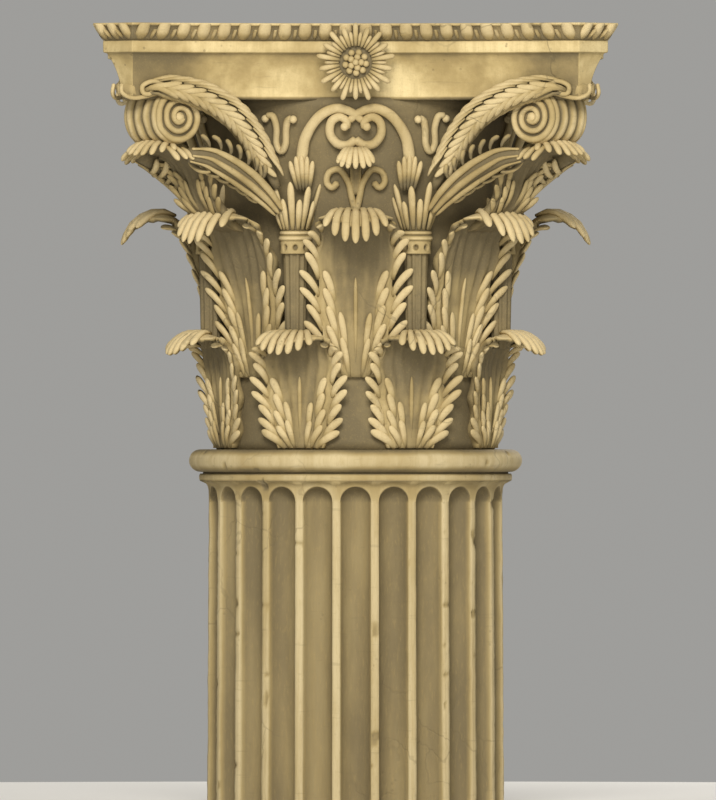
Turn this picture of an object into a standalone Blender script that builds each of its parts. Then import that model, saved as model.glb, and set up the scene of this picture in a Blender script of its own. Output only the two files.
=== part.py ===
"""Top of a fluted Corinthian column: the upper length of the shaft and the carved capital.

Metres, +Z up. The origin is on the column's axis, at the flat cut under the shaft, and the front
of the column faces -Y. The shaft and the capital are two stones. The capital is carved in one:
its bell, leaves, stalks, volutes, flowers and abacus are made apart and joined by a union.
"""

import math

import bmesh
import bpy
import numpy as np
from mathutils import Matrix

# Shaft
SHAFT_RADIUS = 0.250        # at the neck, outside the fillets
SHAFT_TAPER = 0.003         # how much wider the shaft is at the cut
SHAFT_LENGTH = 0.547        # from the cut to the cincture
FLUTES = 24
FLUTE_SHARE = 0.80          # of the pitch, the rest is the fillet between two flutes
FLUTE_MARGIN = 0.010        # from a flute's round head to the cincture
APOPHYGE = 0.015            # how far the neck flares out into the cincture
CINCTURE_HEIGHT = 0.015
ASTRAGAL_HEIGHT = 0.038
ASTRAGAL_PROUD = 0.032      # beyond the shaft's radius
JOINT = 0.0003              # open joint between the two stones

# Capital, heights above its bed
CAPITAL_HEIGHT = 0.715
ABACUS_HEIGHT = 0.128
BELL_FOOT = 0.235           # radius of the bell at the bed
BELL_LIP = 0.300            # radius of the bell under the abacus
BELL_CURVE = 3.2            # how late the bell opens
BELL_SIDES = 16             # flats, one behind each leaf
SINK = 0.015                # how deep carved work is rooted in the bell

# Abacus, measured on the front: across it, and forward from the axis
HORN_ACROSS = 0.374         # half distance between the front's two horn edges
ABACUS_REACH = 0.441        # horn edge at the top, forward from the axis
FILLET_REACH = 0.423
FOOT_REACH = 0.392
ABACUS_HOLLOW = 0.101       # how far the middle of each side lies behind the horns
OVOLO_HEIGHT = 0.029
FILLET_HEIGHT = 0.022
EGGS = 22                   # on each side
HORN_EGGS = 3               # on each horn
EGG_DEPTH = 0.010
CAVETTO = ((0.0, 0.0), (0.5, 0.2), (1.0, 0.85), (1.0, 1.0))   # (up, out) shares, foot to fillet

# Leaves: root and top as shares of the capital's height, reach and half width in metres. A spine
# runs from the root through (out, up) knots: out from the bell (0) to the reach (1), up to the top
LEAF_THICKNESS = 0.032      # with the part that is rooted in the bell
LOWER_LEAF = dict(
    root=0.003, top=0.281, reach=0.337, half_width=0.078, rows=7,
    spine=((0, 0), (0, 0.45), (0.02, 0.74), (0.18, 0.93), (0.50, 1.0), (0.82, 0.93), (1.0, 0.78)),
)
UPPER_LEAF = dict(
    root=0.17, top=0.566, reach=0.392, half_width=0.070, rows=7,
    spine=((0, 0), (0, 0.40), (0.03, 0.68), (0.20, 0.90), (0.52, 1.0), (0.84, 0.93), (1.0, 0.78)),
)
CORNER_LEAF = dict(
    root=0.39, top=0.722, reach=0.522, half_width=0.062, rows=6,
    spine=((0, 0), (0.02, 0.26), (0.30, 0.62), (0.64, 0.91), (0.90, 1.0), (1.0, 0.83)),
)
SMALL_LEAF = dict(
    root=0.56, top=0.706, reach=0.330, half_width=0.040, rows=3,
    spine=((0, 0), (0, 0.40), (0.10, 0.75), (0.50, 1.0), (1.0, 0.68)),
)
LEAVES_IN_ROW = 8
LEAF_COLUMNS = 4
LOBE_DEPTH = 0.26
TIP_ROUNDING = 0.08
TIP_LOBES = 0.04
LEAF_RELIEF = 0.006         # how far midrib and edge stand out, and the hollows lie back
LEAF_FOOT = 0.80            # width at root and tip, of the width at the middle

# Stalks, two on each side of the capital
STALK_REACH = 0.265         # from the column's axis to a stalk's
STALK_ROOT = 0.24           # share of the capital's height
COLLAR_LEVEL = 0.490
CALYX_LEVEL = 0.610
STALK_RADIUS = 0.022
STALK_FOOT = 0.8            # radius at the root, of the radius at the collar
COLLAR_RADIUS = 0.028
COLLAR_HEIGHT = 0.018
CALYX_RADIUS = 0.036

# Corner volutes, in the upright plane through a horn
VOLUTE_REACH = 0.514
VOLUTE_RADIUS = 0.047
VOLUTE_LEVEL = 0.783        # of the capital's height, its eye
VOLUTE_EDGE = 0.081         # width of its outer edge
VOLUTE_WEDGE = 12.0         # degrees that each face turns away from the upright plane
VOLUTE_TURNS = 1.6
VOLUTE_BAND = 0.42          # of the pitch between two turns
VOLUTE_EYE = 0.35           # of a pitch, left in the middle
VOLUTE_CORE = 0.90          # of the radius, under the band
VOLUTE_RECESS = 0.010

# Branch from a stalk's cup to the volute. Its bends are shares of the way across, a shift
# back, and shares of the way up
BRANCH_THICKNESS = 0.022
BRANCH_HEIGHTS = (0.020, 0.028, 0.042, 0.044, 0.028)
BRANCH_BENDS = ((0.25, 0.02, 0.42), (0.55, 0.010, 0.80))
BRANCH_ROOT = 0.03          # how far below the cup's rim it starts
BRANCH_END = 0.30           # how far it ends from the volute's middle, of the edge's width

# Scrolls on the bell. Knots are across the front and down from the bell's lip
ARCH = ((0.098, 0.135), (0.093, 0.075), (0.068, 0.028), (0.030, 0.008), (0.002, 0.024))
SCROLL = ((0.000, 0.066), (0.020, 0.070), (0.042, 0.055), (0.042, 0.033), (0.028, 0.022), (0.016, 0.034))
HELIX_RADIUS = 0.0095
SCROLL_RADIUS = 0.0085
HELIX_PROUD = 0.006         # from the bell to the middle of the band
SCROLL_PROUD = 0.008
SCROLL_DEPTH = 1.2          # of the radius, square to the bell
SCROLL_STEPS = 5

# Flowers on the abacus
FLOWER_LEVEL = 0.908        # of the capital's height
FLOWER_RADIUS = 0.064
FLOWER_DEPTH = 0.046        # how far it goes into the abacus
PETALS = 12
PETAL_GAP = 0.80            # radius between two petals, of the flower's
PETAL_PROUD = 0.010         # from the abacus to the petals' tips
HEART_PROUD = 0.034         # and to the heart
HEART_SHARE = 0.25

ROUND_STEPS = 48
STONE = (0.62, 0.52, 0.32, 1.0)
STONE_LIGHT = (0.70, 0.60, 0.38, 1.0)

BED = SHAFT_LENGTH + CINCTURE_HEIGHT + ASTRAGAL_HEIGHT + JOINT
BELL_HEIGHT = CAPITAL_HEIGHT - ABACUS_HEIGHT


def clear_scene():
    for thing in list(bpy.data.objects):
        bpy.data.objects.remove(thing, do_unlink=True)


def new_collection(name):
    folder = bpy.data.collections.new(name)
    bpy.context.scene.collection.children.link(folder)
    return folder


def stone(name, colour, roughness):
    material = bpy.data.materials.new(name)
    material.use_nodes = True
    shader = material.node_tree.nodes["Principled BSDF"]
    shader.inputs["Base Color"].default_value = colour
    shader.inputs["Roughness"].default_value = roughness
    shader.inputs["Metallic"].default_value = 0.0
    return material


def add_object(name, mesh, folder):
    thing = bpy.data.objects.new(name, mesh)
    folder.objects.link(thing)
    return thing


def mesh_from(name, points, faces):
    mesh = bpy.data.meshes.new(name)
    mesh.from_pydata([tuple(map(float, p)) for p in points], [], faces)
    return mesh


def as_operand(thing):
    thing.hide_render = True
    thing.display_type = "WIRE"
    return thing


def turned(name, profile, folder, steps):
    """A profile of (radius, height) from top to bottom, turned about Z."""
    mesh = bpy.data.meshes.new(name)
    points = [(r, 0.0, z) for r, z in profile]
    mesh.from_pydata(points, [(i, i + 1) for i in range(len(points) - 1)], [])
    thing = add_object(name, mesh, folder)
    screw = thing.modifiers.new("turn", "SCREW")
    screw.steps = steps
    screw.render_steps = steps
    screw.use_merge_vertices = True
    screw.merge_threshold = 0.00005
    screw.use_smooth_shade = True
    return thing


def rings(sections):
    """Skins a stack of equal closed sections, lowest first, and caps both ends."""
    count = len(sections[0])
    points = [p for section in sections for p in section]
    faces = []
    for level in range(len(sections) - 1):
        for i in range(count):
            j = (i + 1) % count
            low = level * count
            faces.append((low + i, low + j, low + count + j, low + count + i))
    faces.append(tuple(reversed(range(count))))
    last = (len(sections) - 1) * count
    faces.append(tuple(range(last, last + count)))
    return points, faces


def outward(mesh):
    """Makes every face of a closed mesh point out."""
    work = bmesh.new()
    work.from_mesh(mesh)
    bmesh.ops.recalc_face_normals(work, faces=work.faces)
    work.to_mesh(mesh)
    work.free()
    return mesh


def arc(centre_r, centre_z, radius, start, end, steps):
    angles = np.radians(np.linspace(start, end, steps + 1))
    return [(centre_r + radius * math.cos(a), centre_z + radius * math.sin(a)) for a in angles]


def smooth_curve(knots, share):
    """Points at shares (0 to 1) of a smooth curve through the knots, each span an equal share."""
    knots = np.array(knots, dtype=float)
    line = np.vstack([2 * knots[0] - knots[1], knots, 2 * knots[-1] - knots[-2]])
    place = np.clip(share, 0.0, 1.0) * (len(knots) - 1)
    span = np.minimum(place.astype(int), len(knots) - 2)
    t = (place - span)[:, None]
    a, b, c, d = (line[span + k] for k in range(4))
    bend = 2 * a - 5 * b + 4 * c - d
    return 0.5 * (2 * b + (c - a) * t + bend * t * t + (3 * b - a - 3 * c + d) * t ** 3)


def smooth_path(knots, steps):
    return smooth_curve(knots, np.linspace(0.0, 1.0, steps + 1))


def tube(name, path, high, thick, sides):
    """A closed bar along a path, with elliptical sections, its high axis as upright as it can be."""
    along = np.gradient(path, axis=0)
    along /= np.linalg.norm(along, axis=1)[:, None]
    out = np.column_stack([path[:, 0], path[:, 1], np.zeros(len(path))])
    out -= (out * along).sum(axis=1)[:, None] * along
    out /= np.linalg.norm(out, axis=1)[:, None]
    side = np.cross(out, along)
    turn = (np.arange(sides) + 0.5) * 2 * math.pi / sides
    sections = []
    for i in range(len(path)):
        ring = np.outer(np.cos(turn) * high[i], side[i]) + np.outer(np.sin(turn) * thick[i], out[i])
        sections.append(path[i] + ring)
    points, faces = rings(sections)
    return outward(mesh_from(name, points, faces))


# Shaft

def shaft_profile():
    """From the centre of the top bed, out and down, to the centre of the cut."""
    neck = SHAFT_LENGTH
    foot_of_bead = neck + CINCTURE_HEIGHT
    bead = ASTRAGAL_HEIGHT / 2
    bead_centre = SHAFT_RADIUS + ASTRAGAL_PROUD - bead
    points = [(0.0, foot_of_bead + ASTRAGAL_HEIGHT)]
    points += arc(bead_centre, foot_of_bead + bead, bead, 90, -90, 4)
    points.append((SHAFT_RADIUS + APOPHYGE, foot_of_bead))
    points.append((SHAFT_RADIUS + APOPHYGE, neck))
    points += arc(SHAFT_RADIUS + APOPHYGE, neck - APOPHYGE, APOPHYGE, 90, 180, 2)[1:]
    points.append((SHAFT_RADIUS + SHAFT_TAPER, 0.0))
    points.append((0.0, 0.0))
    return points


def flute_cutter(folder):
    """A round bar with a ball end, upright, its top at the flutes' heads."""
    radius = FLUTE_SHARE * math.pi * SHAFT_RADIUS / FLUTES
    top = SHAFT_LENGTH - FLUTE_MARGIN - radius
    profile = arc(0.0, top, radius, 90, 0, 2)
    profile.append((radius, -radius))
    profile.append((0.0, -radius))
    profile[0] = (0.0, top + radius)
    return turned("flute_cutter", profile, folder, 12)


def make_shaft(folder, cutters):
    shaft = turned("shaft", shaft_profile(), folder, ROUND_STEPS)
    shaft.data.materials.append(stone("shaft stone", STONE, 0.75))
    first = flute_cutter(cutters)
    lean = math.atan2(SHAFT_TAPER, SHAFT_LENGTH)
    for i in range(FLUTES):
        cutter = first if i == 0 else add_object(f"flute_cutter_{i}", first.data, cutters)
        if i:
            screw = cutter.modifiers.new("turn", "SCREW")
            for key in ("steps", "render_steps", "use_merge_vertices", "merge_threshold"):
                setattr(screw, key, getattr(first.modifiers["turn"], key))
        around = Matrix.Rotation(2 * math.pi * i / FLUTES, 4, "Z")
        out = Matrix.Translation((0.0, -(SHAFT_RADIUS + SHAFT_TAPER), 0.0))
        cutter.matrix_world = around @ out @ Matrix.Rotation(-lean, 4, "X")
        as_operand(cutter)
    cut = shaft.modifiers.new("flutes", "BOOLEAN")
    cut.operation = "DIFFERENCE"
    cut.operand_type = "COLLECTION"
    cut.collection = cutters
    return shaft


# Capital

def bell_radius(height):
    share = np.clip(np.asarray(height, dtype=float) / BELL_HEIGHT, 0.0, 1.0)
    return BELL_FOOT + (BELL_LIP - BELL_FOOT) * share ** BELL_CURVE


def on_bell(across, height, proud):
    """World points of front carving: across the front, at a height, this far off the bell."""
    radius = bell_radius(height) + proud
    forward = np.sqrt(radius ** 2 - np.asarray(across) ** 2)
    return np.column_stack([across, -forward, BED + np.asarray(height)])


def make_bell(folder):
    heights = BELL_HEIGHT * np.linspace(1.0, 0.0, 6)
    profile = [(0.0, BELL_HEIGHT + SINK), (BELL_LIP, BELL_HEIGHT + SINK)]
    profile += [(float(bell_radius(h)), float(h)) for h in heights]
    profile.append((0.0, 0.0))
    bell = turned("capital", profile, folder, BELL_SIDES)
    bell.location.z = BED
    bell.rotation_euler.z = math.pi / BELL_SIDES
    return bell


def side_line(reach, hollow, across, count):
    """One hollow side of the abacus, left horn edge to right horn edge."""
    x = np.linspace(-across, across, count)
    return [(a, -(reach - hollow * (1 - (a / across) ** 2))) for a in x]


def four_sides(line):
    """Repeats a side's points on all four sides, anticlockwise from the front."""
    out = []
    for quarter in range(4):
        c, s = round(math.cos(quarter * math.pi / 2)), round(math.sin(quarter * math.pi / 2))
        out += [(c * x - s * y, s * x + c * y) for x, y in line]
    return out


def make_abacus(folder):
    """Hollow-sided block: a cavetto that leans out to a fillet, cut off at the horns."""
    bottom = BED + BELL_HEIGHT
    fillet = BED + CAPITAL_HEIGHT - OVOLO_HEIGHT - FILLET_HEIGHT
    rise = fillet - bottom
    sections = []
    for up, out in CAVETTO:
        reach = FOOT_REACH + (FILLET_REACH - FOOT_REACH) * out
        line = side_line(reach, ABACUS_HOLLOW, HORN_ACROSS, 9)
        sections.append([(x, y, bottom + rise * up) for x, y in four_sides(line)])
    line = four_sides(side_line(FILLET_REACH, ABACUS_HOLLOW, HORN_ACROSS, 9))
    sections.append([(x, y, fillet + FILLET_HEIGHT + SINK) for x, y in line])
    points, faces = rings(sections)
    return add_object("abacus", outward(mesh_from("abacus", points, faces)), folder)


def egg_line(reach):
    """One side with its row of eggs and the horn after it: between eggs the line steps in."""
    line = []
    for i in range(EGGS):
        for step, sunk in ((0.0, 0.0), (0.5, EGG_DEPTH)):
            share = 2 * (i + step) / EGGS - 1
            line.append((HORN_ACROSS * share, ABACUS_HOLLOW * (1 - share ** 2) + sunk - reach))
    start, end = np.array([HORN_ACROSS, -reach]), np.array([reach, -HORN_ACROSS])
    inward = np.array([-1.0, 1.0]) / math.sqrt(2)
    for i in range(HORN_EGGS):
        for step, sunk in ((0.0, 0.0), (0.5, EGG_DEPTH)):
            line.append(tuple(start + (end - start) * (i + step) / HORN_EGGS + inward * sunk))
    return line


def make_ovolo(folder):
    """The egg moulding round the top edge, each egg a swelling in the outline."""
    top = BED + CAPITAL_HEIGHT
    low = four_sides(egg_line(FILLET_REACH))
    high = four_sides(egg_line(ABACUS_REACH))
    sections = [
        [(x, y, top - OVOLO_HEIGHT) for x, y in low],
        [(x, y, top) for x, y in high],
    ]
    points, faces = rings(sections)
    return add_object("ovolo", outward(mesh_from("ovolo", points, faces)), folder)


def leaf_points(leaf, u, v):
    """Back of an acanthus leaf at u across (-1 to 1) and v along (0 root to 1 tip).

    The spine climbs the bell, curls out and hangs over. Midrib and edges stand out from it, the
    edge is pulled in between the lobes, and the tip is round, with three lobes.
    """
    root = leaf["root"] * CAPITAL_HEIGHT
    top = leaf["top"] * CAPITAL_HEIGHT
    along = v - v ** 5 * (TIP_ROUNDING * u ** 2 + TIP_LOBES * np.sin(math.pi * u) ** 2)
    out, up = smooth_curve(leaf["spine"], along).T
    height = root + (top - root) * up
    start = bell_radius(height) - SINK
    radius = start + (leaf["reach"] - start) * out
    flare = LEAF_RELIEF * np.cos(2 * math.pi * u)
    width = leaf["half_width"] * (LEAF_FOOT + (1 - LEAF_FOOT) * np.sin(math.pi * v ** 0.8))
    notch = 0.5 + 0.5 * np.cos(math.pi * leaf["rows"] * v)
    turn = u * width * (1 - LOBE_DEPTH * notch * u ** 4) / radius
    radius = radius + flare * (1 - out)
    height = height + flare * out
    return np.column_stack([radius * np.sin(turn), -radius * np.cos(turn), height])


def leaf_mesh(name, leaf):
    work = bmesh.new()
    bmesh.ops.create_grid(work, x_segments=LEAF_COLUMNS, y_segments=leaf["rows"], size=1.0)
    flat = np.array([vert.co[:] for vert in work.verts])
    for vert, place in zip(work.verts, leaf_points(leaf, flat[:, 0], (flat[:, 1] + 1) / 2)):
        vert.co = place
    mesh = bpy.data.meshes.new(name)
    work.to_mesh(mesh)
    work.free()
    return mesh


def make_leaves(name, leaf, count, first_angle, folder):
    mesh = leaf_mesh(name, leaf)
    for i in range(count):
        thing = add_object(f"{name}_{i + 1}", mesh, folder)
        thing.location.z = BED
        thing.rotation_euler.z = math.radians(first_angle + 360 / count * i)
        shell = thing.modifiers.new("thickness", "SOLIDIFY")
        shell.thickness = LEAF_THICKNESS
        shell.offset = 1.0
        shell.use_even_offset = True


def make_stalks(folder):
    """Fluted stalks with a collar and a cup, between the upper leaves."""
    root, collar, calyx = (s * CAPITAL_HEIGHT for s in (STALK_ROOT, COLLAR_LEVEL, CALYX_LEVEL))
    profile = [(0.0, calyx), (CALYX_RADIUS, calyx), (STALK_RADIUS, collar + COLLAR_HEIGHT)]
    profile += [(COLLAR_RADIUS, collar + COLLAR_HEIGHT), (COLLAR_RADIUS, collar), (STALK_RADIUS, collar)]
    profile += [(STALK_RADIUS * STALK_FOOT, root), (0.0, root)]
    first = None
    for i in range(LEAVES_IN_ROW):
        if first is None:
            first = turned("stalk_1", profile, folder, 6)
            thing = first
        else:
            thing = first.copy()
            thing.name = f"stalk_{i + 1}"
            folder.objects.link(thing)
        angle = math.radians(360 / LEAVES_IN_ROW * (i + 0.5))
        thing.location = (STALK_REACH * math.sin(angle), -STALK_REACH * math.cos(angle), BED)


def spiral(turns, steps, radius, pitch_share):
    """Outer and inner edge of a volute's band, as (out, up) from its eye, from top to eye.

    The radius falls evenly with the angle, and the band takes its share of the pitch.
    """
    turn = np.linspace(0.0, turns, steps + 1)
    pitch = radius / (turns + VOLUTE_EYE)
    outer = radius - pitch * turn
    inner = outer - pitch * pitch_share
    angle = math.pi / 2 - 2 * math.pi * turn
    return [np.column_stack([r * np.cos(angle), r * np.sin(angle)]) for r in (outer, inner)]


def volute_place(out, up, side, inset):
    """A point of the volute in the plane through the horn on +X: out, across, up."""
    eye = VOLUTE_REACH - VOLUTE_RADIUS
    reach = eye + out
    half = VOLUTE_EDGE / 2 + (VOLUTE_REACH - reach) * math.tan(math.radians(VOLUTE_WEDGE)) - inset
    return (reach, side * half, BED + VOLUTE_LEVEL * CAPITAL_HEIGHT + up)


def volute_solid(name, outline, inset):
    sections = []
    for side in (-1, 1):
        sections.append([volute_place(out, up, side, inset) for out, up in outline])
    points, faces = rings(sections)
    return outward(mesh_from(name, points, faces))


def make_volutes(folder):
    """At each horn a rolled band, and inside it the recessed faces of the roll."""
    outer, inner = spiral(VOLUTE_TURNS, 12, VOLUTE_RADIUS, VOLUTE_BAND)
    band = volute_solid("volute_band", np.vstack([outer, inner[::-1]]), 0.0)
    round_angles = np.arange(8) * math.pi / 4
    inside = VOLUTE_CORE * VOLUTE_RADIUS * np.column_stack([np.cos(round_angles), np.sin(round_angles)])
    core = volute_solid("volute_core", inside, VOLUTE_RECESS)
    for i in range(4):
        for mesh in (band, core):
            thing = add_object(f"{mesh.name}_{i + 1}", mesh, folder)
            thing.rotation_euler.z = math.radians(45 + 90 * i)


def repeat_on_sides(name, mesh_for, folder):
    """Places a shape made for the right half of the front on both halves of all four sides."""
    for side in (1, -1):
        mesh = mesh_for(side)
        for i in range(4):
            thing = add_object(f"{name}_{'right' if side > 0 else 'left'}_{i + 1}", mesh, folder)
            thing.rotation_euler.z = math.pi / 2 * i


def make_branches(folder):
    """The leafy branch that rises from each stalk's cup and runs into the volute."""
    stalk = math.radians(180 / LEAVES_IN_ROW)
    end_out = VOLUTE_REACH - VOLUTE_RADIUS
    diagonal = math.sqrt(0.5)
    edge = VOLUTE_EDGE * BRANCH_END
    end = (diagonal * (end_out - edge), diagonal * (end_out + edge), VOLUTE_LEVEL * CAPITAL_HEIGHT)
    root = CALYX_LEVEL * CAPITAL_HEIGHT - BRANCH_ROOT
    start = (STALK_REACH * math.sin(stalk), STALK_REACH * math.cos(stalk), root)
    knots = [start]
    for share, back, lift in BRANCH_BENDS:
        knots.append(tuple(
            start[k] + (end[k] - start[k]) * (lift if k == 2 else share) - (back if k == 1 else 0.0)
            for k in range(3)
        ))
    knots.append(end)

    def mesh_for(side):
        path = smooth_path([(side * a, -f, BED + h) for a, f, h in knots], len(BRANCH_HEIGHTS) - 1)
        return tube("branch", path, BRANCH_HEIGHTS, np.full(len(path), BRANCH_THICKNESS), 5)

    repeat_on_sides("branch", mesh_for, folder)


def make_helices(folder):
    """Round bands that arch from the stalks to the middle, and the scrolls under the arch."""
    def bar(knots, thickness, proud):
        def mesh_for(side):
            flat = smooth_path(knots, SCROLL_STEPS)
            path = on_bell(flat[:, 0] * side, BELL_HEIGHT - flat[:, 1], proud)
            size = np.full(len(path), thickness)
            return tube("helix", path, size, size * SCROLL_DEPTH, 4)
        return mesh_for

    repeat_on_sides("arch", bar(ARCH, HELIX_RADIUS, HELIX_PROUD), folder)
    repeat_on_sides("scroll", bar(SCROLL, SCROLL_RADIUS, SCROLL_PROUD), folder)


def make_flowers(folder):
    """A flower of long petals on the middle of each side of the abacus."""
    level = BED + FLOWER_LEVEL * CAPITAL_HEIGHT
    face = FILLET_REACH - ABACUS_HOLLOW
    count = PETALS * 2
    turn = np.arange(count) * 2 * math.pi / count
    star = np.where(np.arange(count) % 2 == 0, 1.0, PETAL_GAP) * FLOWER_RADIUS
    across, up = star * np.cos(turn), star * np.sin(turn)
    sections = []
    for size, forward in ((0.9, -FLOWER_DEPTH), (1.0, PETAL_PROUD), (HEART_SHARE, HEART_PROUD)):
        section = np.column_stack([size * across, np.full(count, -(face + forward)), level + size * up])
        sections.append(section)
    points, faces = rings(sections)
    mesh = outward(mesh_from("flower", points, faces))
    for i in range(4):
        add_object(f"flower_{i + 1}", mesh, folder).rotation_euler.z = math.pi / 2 * i


def make_capital(folder, carving):
    capital = make_bell(folder)
    capital.data.materials.append(stone("capital stone", STONE_LIGHT, 0.72))
    make_abacus(carving)
    make_ovolo(carving)
    make_leaves("lower_leaf", LOWER_LEAF, LEAVES_IN_ROW, 180 / LEAVES_IN_ROW, carving)
    make_leaves("upper_leaf", UPPER_LEAF, LEAVES_IN_ROW, 0, carving)
    make_leaves("corner_leaf", CORNER_LEAF, 4, 45, carving)
    make_leaves("small_leaf", SMALL_LEAF, 4, 0, carving)
    make_stalks(carving)
    make_volutes(carving)
    make_branches(carving)
    make_helices(carving)
    make_flowers(carving)
    for thing in carving.objects:
        as_operand(thing)
    join = capital.modifiers.new("carving", "BOOLEAN")
    join.operation = "UNION"
    join.operand_type = "COLLECTION"
    join.collection = carving
    join.solver = "MANIFOLD"
    flat = capital.modifiers.new("merge flat faces", "DECIMATE")
    flat.decimate_type = "DISSOLVE"
    flat.angle_limit = math.radians(8)
    return capital


def main():
    clear_scene()
    column = new_collection("fluted column top")
    flutes = new_collection("flute cutters")
    carving = new_collection("carving")
    make_shaft(column, flutes)
    make_capital(column, carving)


main()
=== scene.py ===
# %% [markdown]
# The top of a fluted Corinthian column, carved in ochre limestone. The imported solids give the
# places and sizes. Here every carved surface is made again as a fine mesh: the flutes, the
# olive-shaped fingers of the acanthus, the volutes, scrolls, flowers and the egg moulding.

# %% Load the frame
import math

import bpy
import numpy as np
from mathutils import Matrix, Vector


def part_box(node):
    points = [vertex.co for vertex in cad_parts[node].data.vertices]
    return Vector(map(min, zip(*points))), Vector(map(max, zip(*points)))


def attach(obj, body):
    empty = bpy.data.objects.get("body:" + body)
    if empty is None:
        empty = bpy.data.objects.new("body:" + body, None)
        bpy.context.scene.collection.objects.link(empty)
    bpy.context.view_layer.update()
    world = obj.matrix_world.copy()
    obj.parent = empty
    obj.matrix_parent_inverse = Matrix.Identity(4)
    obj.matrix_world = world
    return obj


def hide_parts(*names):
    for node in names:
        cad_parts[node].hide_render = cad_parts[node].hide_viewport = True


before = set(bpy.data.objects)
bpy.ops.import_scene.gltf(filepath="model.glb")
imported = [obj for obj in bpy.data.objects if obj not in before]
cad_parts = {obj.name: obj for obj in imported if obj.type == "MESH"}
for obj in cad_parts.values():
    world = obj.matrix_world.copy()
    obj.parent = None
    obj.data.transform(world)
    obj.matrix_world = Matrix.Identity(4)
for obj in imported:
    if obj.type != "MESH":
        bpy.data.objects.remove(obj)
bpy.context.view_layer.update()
print("nodes:", sorted(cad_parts))

# %% [markdown]
# The camera comes first. The column is seen square on, level, and from so far away that no
# edge of the abacus runs to a vanishing point. A very long lens gives that flat view, and its
# length follows from the height that the picture has to show.

# %% Camera
PICTURE_HEIGHT = 1.3534      # metres that the picture shows at the column's axis
PICTURE_LEVEL = 0.6835       # height of the picture's middle
PICTURE_ACROSS = 0.004       # the column stands a little left of the middle
CAMERA_DISTANCE = 40.0
SENSOR = 36.0

camera_data = bpy.data.cameras.new("camera")
camera_data.sensor_width = SENSOR
camera_data.sensor_fit = "AUTO"
camera_data.lens = SENSOR * CAMERA_DISTANCE / PICTURE_HEIGHT
camera_data.clip_end = 15 * CAMERA_DISTANCE
camera = bpy.data.objects.new("camera", camera_data)
camera.location = (PICTURE_ACROSS, -CAMERA_DISTANCE, PICTURE_LEVEL)
camera.rotation_euler = (math.pi / 2, 0.0, 0.0)
bpy.context.scene.collection.objects.link(camera)
bpy.context.scene.camera = camera
print("lens", round(camera_data.lens), "mm")

# %% [markdown]
# Every size of the carving is measured from the two stones of the frame. The capital sits on
# its bed, and heights on it are given above that bed. Across and forward are measured from the
# column's axis, for the side that faces the camera; the other sides are turned copies.

# %% Main sizes
_, shaft_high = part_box("shaft")
capital_low, capital_high = (np.array(corner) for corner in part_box("capital"))
BED = float(capital_low[2])
TOP = float(capital_high[2])
CAPITAL_HEIGHT = TOP - BED
ABACUS_REACH = float(capital_high[0])
SHAFT_TOP = float(shaft_high[2])
ABACUS_HEIGHT = 0.128
BELL_HEIGHT = CAPITAL_HEIGHT - ABACUS_HEIGHT
BELL_FOOT = 0.235
BELL_LIP = 0.300
BELL_CURVE = 3.2
print("bed", round(BED, 4), "top", round(TOP, 4), "reach", round(ABACUS_REACH, 4))


def bell_radius(height):
    """The bell opens late: foot + (lip - foot) * (share of its height) to the power of the curve."""
    share = np.clip(height / BELL_HEIGHT, 0.0, 1.0)
    return BELL_FOOT + (BELL_LIP - BELL_FOOT) * share ** BELL_CURVE


def placed(across, forward, height):
    """Places in space from across and forward of the column's axis and the height above the bed."""
    return np.stack(np.broadcast_arrays(across, -forward, BED + height), axis=-1)


def about_axis(radius, turn, height):
    """Places round the column's axis. Turn 0 is the front."""
    return placed(radius * np.sin(turn), radius * np.cos(turn), height)


def circle(count):
    """Angles of count even steps round a circle."""
    return np.arange(count) * 2 * math.pi / count


def pairs(first, second):
    """Rows of two values. Either may be one number that holds for all rows."""
    return np.column_stack(np.broadcast_arrays(first, second))


def unit(vectors):
    return vectors / np.maximum(np.linalg.norm(vectors, axis=-1, keepdims=True), 1e-12)


# %% [markdown]
# All carving is gathered as arrays: points, faces and, for each point, how much dirt and painted
# shade lie there. Together they make the carving read: tips and tops stay pale, as rubbed wear and
# painted highlight, and roots, undersides and hollows are dark, as dirt and painted shade. A
# class that only stacks arrays keeps the rest of the script free of mesh bookkeeping.

# %% A stack of carved shapes


class Carving:
    """Points, faces and the dirt and painted shade of each point, for one piece while it is being made.
    """

    def __init__(self):
        self.points, self.faces, self.dirt, self.count = [], [], [], 0

    def add(self, points, faces, dirt):
        points = np.asarray(points, dtype=float).reshape(-1, 3)
        dirt = np.asarray(dirt, dtype=float).ravel()
        self.points.append(points)
        self.faces += [part + self.count for part in faces]
        self.dirt.append(np.clip(np.broadcast_to(dirt, len(points)), 0, 1))
        self.count += len(points)

    def joined(self):
        return np.vstack(self.points), np.concatenate(self.dirt)

    def copies(self, angles, mirrored=False):
        """The shape turned about the column's axis to each angle, in degrees, as a new stack."""
        out = Carving()
        points, dirt = self.joined()
        if mirrored:
            points = points * (-1.0, 1.0, 1.0)
        faces = [part[:, ::-1] if mirrored else part for part in self.faces]
        for angle in np.radians(angles):
            c, s = math.cos(angle), math.sin(angle)
            out.add(points @ np.array([[c, s, 0], [-s, c, 0], [0, 0, 1]]), faces, dirt)
        return out

    def take(self, other):
        points, dirt = other.joined()
        self.add(points, other.faces, dirt)


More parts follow.
